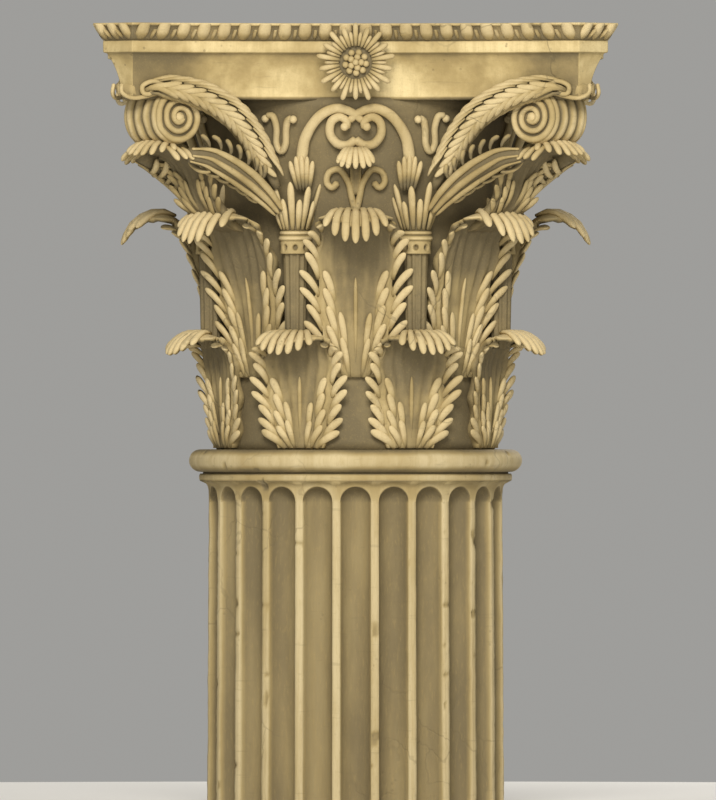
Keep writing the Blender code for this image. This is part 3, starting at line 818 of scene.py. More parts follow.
def shaft_rows(open_):
    """Heights, radii and dirt of the shaft's points, (rows, columns) each, from its foot up."""
    rows = []

    def add_row(z, r, dirt):
        rows.append([np.broadcast_to(value, open_.shape) for value in (z, r, dirt)])

    deep = FLUTE_RADIUS * open_
    # Painted shade: the flutes are darker than the fillets, most at their deepest, and their heads more
    # still.
    soil_and_shade = 0.70 * smoothstep(0.0, 0.40, open_)
    head = SHAFT_LENGTH - FLUTE_MARGIN - FLUTE_RADIUS
    for z in np.linspace(0.0, head, 84):
        add_row(z, outer(z) - deep, soil_and_shade)
    for angle in np.radians(np.linspace(8, 90, 10)):
        z = head + deep * math.sin(angle) + 0.0003 * angle
        add_row(z, outer(z) - deep * math.cos(angle), soil_and_shade + 0.25 * math.sin(2 * angle) * (open_ > 0))
    crown = head + deep
    for share in np.linspace(0, 1, 7)[1:]:
        z = crown + ROW_GAP + (SHAFT_LENGTH - crown - ROW_GAP) * share
        add_row(z, outer(z), 0.15 + 0.3 * share)
    # Painted shade: the cincture's edges, the groove above it and the top and bottom of the astragal are
    # darkened.
    cincture = SHAFT_RADIUS + APOPHYGE
    for share in np.linspace(0, 1, 5):
        bow = CINCTURE_BOW * (1 - (2 * share - 1) ** 4)
        soil_and_shade = 0.15 if 0 < share < 1 else 0.6
        add_row(SHAFT_LENGTH + CINCTURE_HEIGHT * share, cincture - CINCTURE_INSET + bow, soil_and_shade)
    for above in (0.0003, GROOVE):
        add_row(SHAFT_LENGTH + CINCTURE_HEIGHT + above, cincture - 2 * GROOVE, 1.0)
    bead = ASTRAGAL_HEIGHT / 2
    for angle in np.radians(np.linspace(-90, 90, 17)):
        up, out = math.sin(angle), math.cos(angle)
        soil_and_shade = 0.75 * smoothstep(0.35, 1.0, abs(up))
        add_row(SHAFT_TOP - bead + bead * up, ASTRAGAL_REACH - bead + bead * out, soil_and_shade)
    for radius in np.linspace(ASTRAGAL_REACH - bead, BED_HOLE, 6)[1:]:
        add_row(SHAFT_TOP, radius, 0.5)
    return np.moveaxis(np.array(rows, dtype=float), 1, 0)


def make_shaft():
    carving = Carving()
    turn, open_ = shaft_columns()
    z, r, dirt = shaft_rows(open_)
    place = about_axis(r, turn, z - BED)
    worn = 0.0008 * field(place, 0.035, 21) + 0.0005 * field(place, 0.009, 22)
    chip = smoothstep(0.52, 0.85, field(place, 0.017, 23)) * smoothstep(0.2, 0.0, open_)
    free = smoothstep(0.0, 0.004, z) * smoothstep(SHAFT_TOP, SHAFT_TOP - 0.004, z)
    r = r + (worn - 0.0035 * chip - 0.0008) * free
    dirt = np.clip(dirt + 0.5 * chip, 0, 1)
    add_tube(carving, about_axis(r, turn, z - BED), ((0, 0, 0), (0, 0, SHAFT_TOP)), dirt, 0.6)
    return carving


make_piece("fluted_shaft", make_shaft(), FLUTED, "shaft")

# %% [markdown]
# The bell is the plain core that all the leaves stand on. It only shows in the gaps, deep in
# shadow, so it gets a smooth turned skin and a heavy dark coat of painted shade.

# %% Bell


def make_bell():
    carving = Carving()
    heights = np.linspace(0.0, BELL_HEIGHT + 0.004, 40)[:, None]
    turn = circle(96)
    radius = bell_radius(heights)
    radius = radius + 0.0012 * field(about_axis(radius, turn, heights), 0.03, 31)
    poles = [placed(0, 0, heights[k, 0]) for k in (0, -1)]
    add_tube(carving, about_axis(radius, turn, heights), poles, 0.92)
    return carving


capital_piece("capital_bell", make_bell())

# %% [markdown]
# Two rows of eight leaves, the upper row standing in the gaps of the lower one. The eight are
# turned copies of one leaf.

# %% Lower and upper leaves
SIDES = 90.0 * np.arange(4)
EIGHTHS = 45.0 * np.arange(8)
capital_piece("lower_leaves", acanthus(LOWER_LEAF).copies(EIGHTHS + 22.5))
capital_piece("upper_leaves", acanthus(UPPER_LEAF).copies(EIGHTHS))

# %% Corner leaves
CORNERS = 45.0 + 90.0 * np.arange(4)
HEM = np.array([0.74, 0.79, 0.84, 0.89])   # where fingers close the sides of the fringe
# Painted shade: the corner leaves lie under the volutes and get an even dark coat.
corner = acanthus(CORNER_LEAF, midrib=False, grime_and_shade=0.28)
for side in (-1, 1):
    start, end = pairs(side * 0.66, HEM), pairs(side * 1.22, HEM + 0.01)
    add_fingers(
        corner, leaf_surface(CORNER_LEAF), start, end, width=0.0056, height=0.0048, lift=0.005,
        wear_and_highlight=0.5, seed=17, side=-1.0, sink=1.0,
    )
capital_piece("corner_leaves", corner.copies(CORNERS))

# %% [markdown]
# Between the upper leaves rise the stalks. Each has a collar of two rings and a cup of slender
# upright fingers, from which the branches of the volutes and helices spring.

# %% Stalks and cups
STALK_REACH = 0.265
STALK_ROOT = 0.17
COLLAR_LEVEL = 0.350
CUP_TOP = 0.450
BAND_RADIUS = 0.0252
BAND_HEIGHT = 0.021
BAND_AROUND = 112
HOLES = 8
HOLE_RADIUS = 0.0046
HOLE_DEPTH = 0.010
COLLAR_RINGS = ((0.005, 0.0285, 0.0052), (0.014, 0.0265, 0.0040))   # above the band, radius, half height
CUP_LEVEL = COLLAR_LEVEL + 0.018
CUP_FOOT = 0.021
CUP_FLARE = 0.020
CORE_BELOW_TOP = 0.06
CUP_FINGERS = (              # count, shift, tip, half width, lift
    (8, 0.25, 0.96, 0.0064, 0.003), (8, 0.75, 0.66, 0.0056, 0.006),
)


def stalk_ring(radius, turn, level):
    """Places round the stalk's own axis."""
    return placed(radius * np.sin(turn), STALK_REACH + radius * np.cos(turn), level)


def turned(carving, profile, dirt, around, reeds=0, depth=0.0):
    """A turned form on the stalk's axis: profile is (radius, height) rows, bottom to top."""
    profile = np.array(profile, dtype=float)
    turn = circle(around)
    place = stalk_ring(profile[:, :1] * (1 + depth * np.cos(reeds * turn)), turn, profile[:, 1:])
    poles = [placed(0, STALK_REACH, profile[k, 1]) for k in (0, -1)]
    add_tube(carving, place, poles, np.reshape(dirt, (-1, 1)), 1.0)


def drilled_band(carving):
    """The band under the rings. Its holes are dents in one closed skin."""
    turn = circle(BAND_AROUND)
    level = np.linspace(COLLAR_LEVEL - BAND_HEIGHT, COLLAR_LEVEL, 14)[:, None]
    pitch = 2 * math.pi / HOLES
    aside = BAND_RADIUS * (np.mod(turn, pitch) - pitch / 2)
    away = np.hypot(aside, level - COLLAR_LEVEL + BAND_HEIGHT / 2) / HOLE_RADIUS
    hole = smoothstep(1.15, 0.70, away)
    place = stalk_ring(BAND_RADIUS - HOLE_DEPTH * hole, turn, level)
    poles = [placed(0, STALK_REACH, level[k, 0]) for k in (0, -1)]
    # Painted shade: the drilled holes are darkened.
    add_tube(carving, place, poles, 0.40 + 0.60 * hole, 1.0)


def cup(u, v):
    """The cup's skin: u goes round it, -1 to 1, and v from its foot to its lip."""
    radius = CUP_FOOT + CUP_FLARE * np.clip(v, 0, 1) ** 1.3
    return stalk_ring(radius, math.pi * u, CUP_LEVEL + (CUP_TOP - CUP_LEVEL) * v)


def make_stalk():
    carving = Carving()
    rise = np.linspace(0, 1, 8)
    stem = np.column_stack([0.015 + 0.004 * rise, STALK_ROOT + (COLLAR_LEVEL - STALK_ROOT) * rise])
    # Painted shade: the reeded stem and the core inside the cup are dark, and the collar rings darken
    # towards their top and bottom.
    turned(carving, stem, 0.90, 60, reeds=10, depth=0.10)
    drilled_band(carving)
    for above, radius, half in COLLAR_RINGS:
        angle = np.radians(np.linspace(-90, 90, 9))
        level = COLLAR_LEVEL + above
        ring = np.column_stack([radius - half + half * np.cos(angle), level + half * np.sin(angle)])
        turned(carving, ring, np.abs(np.sin(angle)) * 0.7, 32)
    rise = np.linspace(0, 1, 6)
    height = COLLAR_LEVEL + 0.015 + (CUP_TOP - CORE_BELOW_TOP - COLLAR_LEVEL) * rise
    turned(carving, np.column_stack([0.019 + 0.007 * rise * rise, height]), 1.0, 20)
    for count, shift, high, half, lift in CUP_FINGERS:
        u = (np.arange(count) + shift) * 2 / count
        start, end = pairs(u, 0.02), pairs(u, high + 0.05 * np.cos(u * 9))
        add_fingers(carving, cup, start, end, half, half * 0.7, lift, seed=13)
    return carving


capital_piece("stalks", make_stalk().copies(EIGHTHS + 22.5))

# %% [markdown]
# A volute is a drum that stands on edge in the upright plane through a horn. Its two faces turn
# a little outwards. On each face a rolled band winds in to the eye, and its radius falls evenly
# with the angle. Four reeds run round the outer edge.

# %% Corner volutes
VOLUTE_REACH = 0.514
VOLUTE_RADIUS = 0.051
VOLUTE_LEVEL = 0.779 * CAPITAL_HEIGHT
VOLUTE_EDGE = 0.081          # width of the drum's outer edge
VOLUTE_WEDGE = 12.0          # degrees that each face turns outwards
VOLUTE_PITCH = 0.0145        # how far the band winds inwards in one turn
VOLUTE_TURNS = 2.75
VOLUTE_START = 115.0         # degrees up from the outward direction, where the band begins
DRUM_AROUND = 84
DRUM_REEDS = 4
FACE_SHARES = (0.97, 0.90, 0.6, 0.25)
FACE_DEPTH = 0.009           # how far the drum's faces lie behind the rolled bands
REED_HEIGHT = 0.0050
REED_SINK = 0.0035           # how far the grooves between the reeds lie under the rim
DRUM_ROUNDING = 0.003
BAND_HALF = 0.0058
BAND_LIFT = 0.0054
BAND_INSET = 0.0055          # how far its middle lies inside the rim and behind its front
EYE = 0.0095
EYE_POLES = (0.010, -0.0002)
ROLL_RADIUS, ROLL_HALF, ROLL_REACH, ROLL_LEVEL = 0.0125, 0.015, 0.5330, 0.604


def volute_rim(angle):
    """Radius of the drum: it falls by most of a pitch in one turn, then runs back up."""
    turn = np.mod(math.radians(VOLUTE_START) - angle, 2 * math.pi) / (2 * math.pi)
    return VOLUTE_RADIUS - 0.001 - 0.8 * VOLUTE_PITCH * turn * (1 - smoothstep(0.86, 1.0, turn))


def volute_face(out, up, side, depth):
    """A place on a face, from out and up beside the eye and the depth below the face."""
    reach = VOLUTE_REACH - VOLUTE_RADIUS + out
    half = VOLUTE_EDGE / 2 + (VOLUTE_RADIUS - out) * math.tan(math.radians(VOLUTE_WEDGE)) - depth
    return placed(side * half, reach, VOLUTE_LEVEL + up)


def face_ring(radius, angle, side, depth):
    return volute_face(radius * np.cos(angle), radius * np.sin(angle), side, depth)


def volute_drum(carving):
    """The drum, from its left face over the reeds on its edge to its right face."""
    angle = circle(DRUM_AROUND)
    rim = volute_rim(angle)
    # Painted shade: the drum's faces behind the bands are dark, and the grooves between the reeds darken
    # while their crests stay pale.
    rings = [face_ring(share * rim, angle, -1, FACE_DEPTH) for share in FACE_SHARES[::-1]]
    soil_and_shade = [1.0] * len(FACE_SHARES)
    for s in np.linspace(-1, 1, 29):
        reed = REED_HEIGHT * np.abs(np.sin(math.pi * (s + 1) * DRUM_REEDS / 2)) ** 0.9
        place = face_ring(rim + reed - REED_SINK - DRUM_ROUNDING * np.abs(s) ** 12, angle, 1, 0.0)
        place[..., 0] *= s * 0.97
        rings.append(place)
        soil_and_shade.append(1.0 - reed / REED_HEIGHT)
    rings += [face_ring(share * rim, angle, 1, FACE_DEPTH) for share in FACE_SHARES]
    soil_and_shade += [1.0] * len(FACE_SHARES)
    rings = np.array(rings)
    rings = rings + 0.0007 * field(rings, 0.02, 41)[..., None]
    poles = [volute_face(0.0, 0.0, side, FACE_DEPTH) for side in (-1, 1)]
    add_tube(carving, rings, poles, np.array(soil_and_shade)[:, None] + np.zeros(DRUM_AROUND), 1.0)


def volute_band(carving, side):
    """The rolled band of one face, and the eye that it ends in."""
    turn = np.linspace(0.0, VOLUTE_TURNS, 130)
    swing = math.radians(VOLUTE_START) - 2 * math.pi * turn
    half = BAND_HALF * (1 - 0.30 * turn / VOLUTE_TURNS)
    path = face_ring(VOLUTE_RADIUS - BAND_INSET - VOLUTE_PITCH * turn, swing, side, BAND_INSET)
    add_bars(carving, path[None], half, BAND_LIFT, np.array([side, 0.0, 0.0]), dirt=0.22)
    angle = circle(DRUM_AROUND)[::6]
    lift = np.radians((0, 25, 45, 65, 80))[:, None]
    eye = face_ring(EYE * np.cos(lift), angle, side, FACE_DEPTH * (1 - np.sin(lift)))
    add_tube(carving, eye[:, ::side], [volute_face(0.0, 0.0, side, depth) for depth in EYE_POLES], 0.05)


def horn_roll(carving):
    """The small roll that lies on the drum, under the cut-off horn."""
    turn = circle(24)
    share = np.linspace(-1, 1, 9)[:, None]
    size = ROLL_RADIUS * (1 - 0.25 * share ** 8)
    rings = placed(share * ROLL_HALF, ROLL_REACH + size * np.cos(turn), ROLL_LEVEL + size * np.sin(turn))
    add_tube(carving, rings, [placed(s * ROLL_HALF, ROLL_REACH, ROLL_LEVEL) for s in (-1, 1)], 0.15)


def make_volute():
    carving = Carving()
    volute_drum(carving)
    for side in (-1, 1):
        volute_band(carving, side)
    horn_roll(carving)
    return carving


capital_piece("corner_volutes", make_volute().copies(CORNERS))

# %% [markdown]
# From each cup a leafy branch swings up and out to the volute. Its upper part is a garland of
# overlapping leaflets with their tips turned back. Under it lies a sheath of three thick reeds
# with a few fingers that stand on its upper edge. The branch is made for the right half of the
# front, and the left half is its mirror image.

# %% Branches to the volutes
GARLAND = (
    (0.132, 0.270, 0.440), (0.150, 0.280, 0.478), (0.172, 0.300, 0.522), (0.204, 0.328, 0.562),
    (0.248, 0.354, 0.590), (0.292, 0.374, 0.604), (0.330, 0.386, 0.608), (0.352, 0.386, 0.602),
)
SHEATH = (
    (0.130, 0.266, 0.400), (0.150, 0.276, 0.424), (0.178, 0.294, 0.450), (0.210, 0.316, 0.472),
    (0.243, 0.338, 0.487), (0.280, 0.362, 0.494),
)
GARLAND_CURL = (
    (0.318, 0.384, 0.610), (0.338, 0.392, 0.617), (0.356, 0.396, 0.610), (0.355, 0.395, 0.597),
    (0.343, 0.391, 0.597), (0.342, 0.391, 0.605),
)
HORN_FOOT = (
    (0.392, 0.405, 0.612), (0.391, 0.407, 0.598), (0.374, 0.402, 0.589), (0.350, 0.388, 0.592),
    (0.330, 0.378, 0.598),
)
GARLAND_RADIUS = (0.009, 0.012, 0.014, 0.015, 0.015, 0.014, 0.011, 0.006)
SHEATH_RADIUS = (0.010, 0.016, 0.020, 0.021, 0.020, 0.014)
LEAFLETS = 13                # in each row of the garland
# The last column is an even coat of painted shade, heavier for the rows that lie further back.
LEAFLET_ROWS = (             # side, how far across they reach, half width, grime
    (-1, 1.22, 0.0054, 0.0), (-1, 0.42, 0.0050, 0.05), (1, 0.55, 0.0050, 0.15), (1, 1.20, 0.0050, 0.30),
)
REEDS = ((-0.66, 0.0070), (-0.08, 0.0056), (0.44, 0.0050))   # across, half width
CORE_RINGS, CORE_AROUND = 24, 16


def ribbon(knots, radius):
    """A half-round skin along a path: across runs round it from its upper to its lower side.

    knots are (across, forward, above the bed). The front is the side away from the column's axis.
    """
    table = even_curve(knots)

    def surface(u, v):
        place = look_up(table, v)
        low = np.clip(v, 0, 0.98)
        ahead = unit(look_up(table, low + 0.02) - look_up(table, low))
        out = place * (0.6, 1.0, 0.0)
        out = unit(out - ahead * np.sum(out * ahead, axis=-1, keepdims=True))
        side = np.cross(ahead, out)
        size = np.interp(v, np.linspace(0, 1, len(radius)), radius)[..., None]
        turn = (-u * math.pi / 2)[..., None]
        spot = place + size * (side * np.sin(turn) + out * np.cos(turn))
        return placed(*np.moveaxis(spot, -1, 0))

    return surface


def ribbon_core(carving, surface):
    """A closed tube under a ribbon, dark as painted shade, so that nothing shows through between its
    leaflets.
    """
    u = np.arange(CORE_AROUND) * 4.0 / CORE_AROUND - 2.0
    v, u = np.meshgrid(np.linspace(0.0, 1.0, CORE_RINGS), u, indexing="ij")
    rings = surface(u, v)
    middle = rings.mean(axis=1)
    rings = middle[:, None] + (rings - middle[:, None]) * 0.86
    add_tube(carving, rings, (middle[0], middle[-1]), 0.95)


def open_path(knots, count):
    """Points in space at even steps along (across, forward, above the bed) knots."""
    return placed(*look_up(even_curve(knots), np.linspace(0, 1, count)).T)


def make_garland(carving):
    surface = ribbon(GARLAND, GARLAND_RADIUS)
    ribbon_core(carving, surface)
    for side, reach, half, grime_and_shade in LEAFLET_ROWS:
        v = np.linspace(0.24, 1.0, LEAFLETS) + 0.025 * (reach < 1)
        start, end = pairs(side * (reach - 0.55), v), pairs(side * reach, v - 0.20)
        add_fingers(
            carving, surface, start, end, half, half * 0.62, lift=0.0080, bend=(-side * 0.10, 0.0),
            wear_and_highlight=0.25, seed=51, sink=0.2, grime_and_shade=grime_and_shade,
        )


def make_sheath(carving):
    surface = ribbon(SHEATH, SHEATH_RADIUS)
    ribbon_core(carving, surface)
    v = np.linspace(0, 1, 30)
    centre = open_path(SHEATH, 30)
    for u, half in REEDS:
        path = surface(np.full(30, u), v)
        size = half * (0.35 + 0.65 * np.sin(math.pi * np.clip(v * 1.1, 0, 1) ** 0.8) ** 0.6)
        add_bars(carving, path[None], size, size * 0.9, (path - centre)[None], dirt=0.25)
    # Painted shade: the fingers on the sheath's edge under the garland are darkened.
    tip = np.linspace(0.36, 0.88, 7)
    start, end = pairs(-0.80, tip - 0.04), pairs(-1.02, tip + 0.03)
    add_fingers(
        carving, surface, start, end, width=0.0050, height=0.0044, lift=0.019, seed=53, sink=0.05,
        soil_and_shade=0.85, grime_and_shade=0.50,
    )
    tip = np.linspace(0.30, 0.88, 6)
    start, end = pairs(0.60, tip - 0.10), pairs(1.75, tip + 0.04)
    add_fingers(carving, surface, start, end, width=0.0060, height=0.0050, lift=0.006, seed=54)


def make_branch():
    carving = Carving()
    make_garland(carving)
    make_sheath(carving)
    for knots, half in ((HORN_FOOT, 0.0036), (GARLAND_CURL, 0.0044)):
        path = open_path(knots, 28)
        add_bars(carving, path[None], half, half, np.array([0.3, -1.0, 0.0]), dirt=0.1, around=8)
    return carving


def both_halves(right):
    """A shape of the right half of the front and its mirror image, on all four sides."""
    out = right.copies(SIDES)
    out.take(right.copies(SIDES, mirrored=True))
    return out


capital_piece("volute_branches", both_halves(make_branch()))

# %% [markdown]
# In the middle of each side two bands spring from the inner cups, lean together and cross just
# under the abacus. They are the helices. Under the arch sit two small scrolls, a little hanging
# leaf and a slender stem, and beside it a pair of tendrils shaped like a lyre.

# %% Helices and tendrils
ARCH = (
    (0.090, 0.452), (0.091, 0.485), (0.084, 0.525), (0.062, 0.558), (0.032, 0.573), (0.006, 0.566),
    (-0.010, 0.553),
)
SCROLL = (
    (0.000, 0.519), (0.014, 0.511), (0.031, 0.514), (0.043, 0.530), (0.041, 0.550), (0.027, 0.559),
    (0.015, 0.551), (0.015, 0.541),
)
STEM = (
    (0.002, 0.404), (0.007, 0.426), (0.013, 0.450), (0.027, 0.470), (0.044, 0.466), (0.049, 0.450),
    (0.040, 0.440), (0.031, 0.448),
)
LYRE = (
    (0.108, 0.556), (0.114, 0.552), (0.117, 0.538), (0.117, 0.515), (0.125, 0.501), (0.133, 0.513),
    (0.133, 0.540), (0.139, 0.560), (0.148, 0.562),
)
BALLS = (                    # across, height, how proud of the bell, radius
    (0.0185, 0.5420, 0.018, 0.0072), (0.105, 0.5545, 0.009, 0.0068), (0.152, 0.5560, 0.009, 0.0068),
)
SMALL_LEAF = dict(
    root=0.60, top=0.700, reach=0.326, widths=(0.010, 0.014, 0.026, 0.034), hood=0.004, droop=0.006,
    spine=((0, 0), (0, 0.40), (0.10, 0.75), (0.50, 1.0), (0.90, 0.85), (1.0, 0.56)),
    lobes=3, fringe=7, spread=0.95, fringe_root=0.58, halves=(0.0050,),
)


def on_bell(across, height, proud):
    """A place above the bell's skin, given as it is seen from the front."""
    radius = bell_radius(height) + proud
    return about_axis(radius, np.arcsin(np.clip(across / radius, -0.99, 0.99)), height)


def bell_bar(carving, knots, half, high, proud, dirt, rings=44, around=10, taper=0.0):
    """A bar that follows (across, height) knots over the bell. It may grow thinner to its end."""
    flat = look_up(even_curve(knots), np.linspace(0, 1, rings))
    path = on_bell(flat[:, 0], flat[:, 1], proud)
    size = half * (1 - taper * np.linspace(0, 1, rings) ** 2)
    facing = path * (1, 1, 0)
    add_bars(carving, path[None], size, high * size / half, facing[None], dirt=dirt, around=around)


def knob(carving, centre, radius, dirt=0.0):
    """A small round boss about a point."""
    lift = np.radians(np.linspace(-75, 75, 7))
    turn, lift = circle(12), lift[:, None]
    x, y, z = np.broadcast_arrays(np.cos(lift) * np.cos(turn), np.cos(lift) * np.sin(turn), np.sin(lift))
    rings = centre + radius * np.stack([x, y, z], axis=-1)
    add_tube(carving, rings, (centre - (0, 0, radius), centre + (0, 0, radius)), dirt)


def make_helix():
    """The bands, scrolls and tendrils on the right half of the front."""
    carving = Carving()
    bell_bar(
        carving, ARCH, half=0.0102, high=0.0080, proud=0.012, dirt=0.16, rings=54, around=14, taper=0.40,
    )
    bell_bar(carving, SCROLL, half=0.0078, high=0.0080, proud=0.013, dirt=0.12, taper=0.15)
    bell_bar(carving, LYRE, half=0.0060, high=0.0064, proud=0.006, dirt=0.2)
    bell_bar(carving, STEM, half=0.0056, high=0.0064, proud=0.008, dirt=0.3)
    for across, height, proud, radius in BALLS:
        knob(carving, on_bell(across, height, proud), radius)
    # Painted shade: the little fan of fingers under the arch is darkened.
    fan = np.linspace(-1, 1, 5)
    start = pairs(0.087 + 0.010 * fan, 0.436)
    end = pairs(0.090 + 0.019 * fan, 0.496 - 0.010 * fan ** 2)
    add_fingers(
        carving, lambda u, v: on_bell(u, v, 0.016), start, end, width=0.0048, height=0.0044, lift=0.004,
        seed=57, soil_and_shade=0.9, grime_and_shade=0.15,
    )
    return carving


helices = both_halves(make_helix())
small, small_surface = Carving(), leaf_surface(SMALL_LEAF)
leaf_sheet(small, small_surface, SMALL_LEAF["lobes"], columns=17, rows=21)
fringe(small, small_surface, SMALL_LEAF, 19)
helices.take(small.copies(SIDES))
capital_piece("helices", helices)

# %% [markdown]
# The abacus has four hollow sides that meet in cut-off horns. Each side is a curve, and each
# level of the block repeats it a little further out. Under the top edge runs the egg moulding,
# with a pointed dart between each two eggs.

# %% Abacus
HORN_ACROSS = 0.374
FILLET_REACH = 0.423
FOOT_REACH = 0.392
ABACUS_HOLLOW = 0.101
OVOLO_HEIGHT = 0.029
FILLET_HEIGHT = 0.022
PER_SIDE, PER_HORN = 72, 6
EDGE_STEP = 0.0015           # how near the horns' edges the next points lie, to keep them sharp
BED_SHARES = (0.993, 0.96, 0.80, 0.60, 0.40, 0.20)
# The underside of the abacus is painted dark as shade.
UNDER_DIRT_AND_SHADE, TOP_DIRT = 0.9, 0.3


def side_curve(reach, share):
    """A hollow side at shares -1 to 1: (across, forward)."""
    return np.stack([HORN_ACROSS * share, reach - ABACUS_HOLLOW * (1 - share ** 2)], axis=-1)


def square_ring(reach, height):
    """One level of the abacus: four sides and four horns, as points (x, y, z)."""
    shares = np.linspace(-1, 1, PER_SIDE)
    near = 1 - EDGE_STEP / HORN_ACROSS
    side = side_curve(reach, np.concatenate([[-1, -near], shares[1:-1], [near, 1]]))
    start, end = np.array([HORN_ACROSS, reach]), np.array([reach, HORN_ACROSS])
    close = min(0.2, EDGE_STEP / np.linalg.norm(end - start))
    steps = np.concatenate([[close], np.linspace(0, 1, PER_HORN + 1)[1:-1], [1 - close]])
    part = np.vstack([side, start + (end - start) * steps[:, None]])
    out = []
    for quarter in range(4):
        c, s = round(math.cos(quarter * math.pi / 2)), round(math.sin(quarter * math.pi / 2))
        x, y = part[:, 0], -part[:, 1]
        out.append(np.column_stack([c * x - s * y, s * x + c * y, np.full(len(x), BED + height)]))
    return np.vstack(out)


def flat_bed(ring):
    """Copies of a ring inside itself. The first lies close to the edge and keeps it sharp."""
    shares = np.array(BED_SHARES)[:, None, None]
    level = np.repeat(ring[None, :, 2:], len(shares), axis=0)
    return np.concatenate([ring[None, :, :2] * shares, level], axis=-1)


def abacus_levels():
    """The block from its foot up, as (height above the bell, reach, dirt) rows."""
    rise = CAPITAL_HEIGHT - OVOLO_HEIGHT - FILLET_HEIGHT - BELL_HEIGHT
    span = FILLET_REACH - FOOT_REACH
    # Painted shade: the foot, the step over the fillet and the ovolo behind the eggs are dark.
    levels = [(0.0, FOOT_REACH - 0.003, 0.9), (0.004, FOOT_REACH, 0.6)]
    for t in np.linspace(0.08, 1, 12):
        levels.append((t * rise, FOOT_REACH + 0.80 * span * t ** 2.2, 0.15 + 0.35 * t ** 6))
    levels += [(rise + 0.0015, FILLET_REACH - 0.001, 0.55), (rise + 0.003, FILLET_REACH, 0.1)]
    levels += [(rise + FILLET_HEIGHT - 0.002, FILLET_REACH, 0.1)]
    levels += [(rise + FILLET_HEIGHT, FILLET_REACH - 0.004, 0.9)]
    edge = CAPITAL_HEIGHT - BELL_HEIGHT
    for angle in np.radians((10, 30, 50, 70, 88)):
        up = edge - OVOLO_HEIGHT + 0.85 * OVOLO_HEIGHT * (1 - math.cos(angle))
        reach = FILLET_REACH - 0.004 + (ABACUS_REACH - FILLET_REACH - 0.004) * math.sin(angle)
        levels.append((up, reach, 0.85))
    return levels + [(edge - 0.003, ABACUS_REACH - 0.001, 0.2), (edge, ABACUS_REACH - 0.0015, 0.2)]


def make_abacus():
    carving = Carving()
    levels = abacus_levels()
    rings = np.array([square_ring(reach, BELL_HEIGHT + up) for up, reach, _ in levels])
    worn = 0.0009 * field(rings, 0.03, 61) - 0.003 * smoothstep(0.60, 0.85, field(rings, 0.022, 62))
    top = rings[..., 2] > BED + CAPITAL_HEIGHT - 0.0005
    rings[..., :2] += rings[..., :2] * (np.where(top, 0.5, 1.0) * worn)[..., None] * 2.0
    rings = np.concatenate([flat_bed(rings[0])[::-1], rings, flat_bed(rings[-1])])
    under, over = ([dirt] * len(BED_SHARES) for dirt in (UNDER_DIRT_AND_SHADE, TOP_DIRT))
    soil_and_shade = np.array(under + [dirt for _, _, dirt in levels] + over)[:, None] + np.zeros(rings.shape[:2])
    # Painted shade and dirt: below the mouldings, each hollow side darkens towards its horns.
    aside = np.minimum(np.abs(rings[..., 0]), np.abs(rings[..., 1])) / HORN_ACROSS
    below = rings[..., 2] < BED + CAPITAL_HEIGHT - OVOLO_HEIGHT - FILLET_HEIGHT
    soil_and_shade = np.clip(soil_and_shade + 0.42 * below * smoothstep(0.35, 0.95, aside) * (aside < 0.999), 0, 1)
    poles = [placed(0, 0, height) for height in (BELL_HEIGHT, CAPITAL_HEIGHT)]
    add_tube(carving, rings, poles, soil_and_shade, (UNDER_DIRT_AND_SHADE, TOP_DIRT))
    return carving


capital_piece("abacus", make_abacus(), DRESSED)

# %% Egg moulding
EGGS = 22
HORN_EGGS = 3
EGG_HALF = 0.0115
EGG_LEAN = 0.010             # how far an egg's top stands out past its middle
EGG_SHAPE = (-0.94, -0.80, -0.60, -0.35, -0.10, 0.20, 0.55, 0.90, 1.0)   # levels from foot to top


def egg_places(shift):
    """Where the eggs (shift 0) or darts (shift 0.5) of one side and its horn stand.

    It also gives the way that each one faces, and its width as a share of a full egg's.
    """
    reach = (FILLET_REACH + ABACUS_REACH) / 2 + 0.0015
    share = 2 * (np.arange(EGGS) + 0.5 + shift) / EGGS - 1
    share = share[share < 0.999]
    slope = 2 * ABACUS_HOLLOW * share / HORN_ACROSS
    start, end = np.array([HORN_ACROSS, reach]), np.array([reach, HORN_ACROSS])
    horn = start + (end - start) * ((np.arange(HORN_EGGS) + 0.5 + shift) / HORN_EGGS)[:, None]
    horn = horn if shift == 0 else horn[:-1]
    place = np.vstack([side_curve(reach, share), horn])
    facing = np.vstack([pairs(-slope, 1.0), np.ones((len(horn), 2))])
    facing = facing / np.linalg.norm(facing, axis=1, keepdims=True)
    horn_pitch, side_pitch = abs(end[0] - start[0]) * 1.3 / HORN_EGGS, 2 * HORN_ACROSS / EGGS
    narrow = np.concatenate([np.ones(len(share)), np.full(len(horn), min(horn_pitch / side_pitch, 1.0))])
    return place, facing, narrow


def upright_lumps(carving, places, half, deep, low, high, dirt, around=10):
    """Egg-shaped lumps that stand on a moulding: widest above the middle, leaning outwards."""
    place, facing, narrow = places
    level = np.array(EGG_SHAPE)
    size = np.where(level < 0, np.sqrt(1 - level ** 2), 1 - 0.16 * level ** 2)
    turn = circle(around)
    side = np.column_stack([facing[:, 1], -facing[:, 0]])[:, None, None]
    across = half * narrow[:, None, None] * np.outer(size, np.cos(turn))
    ahead = deep * np.outer(size, np.sin(turn)) + EGG_LEAN * level[:, None]
    spot = place[:, None, None] + side * across[..., None] + facing[:, None, None] * ahead[..., None]
    height = (low + high) / 2 + (high - low) / 2 * level[:, None]
    ends = [placed(*(place + facing * EGG_LEAN * sign).T, z) for sign, z in ((-1, low), (1, high))]
    points, faces = closed_tubes(placed(spot[..., 0], spot[..., 1], height), *ends)
    # Painted shade: each egg and dart darkens towards its foot, and its lower pole is dark.
    soil_and_shade = np.repeat(np.clip(dirt + 0.5 * smoothstep(0.1, -0.9, level), 0, 1), around)
    carving.add(points, faces, np.tile(np.concatenate([soil_and_shade, [0.8, dirt]]), len(place)))


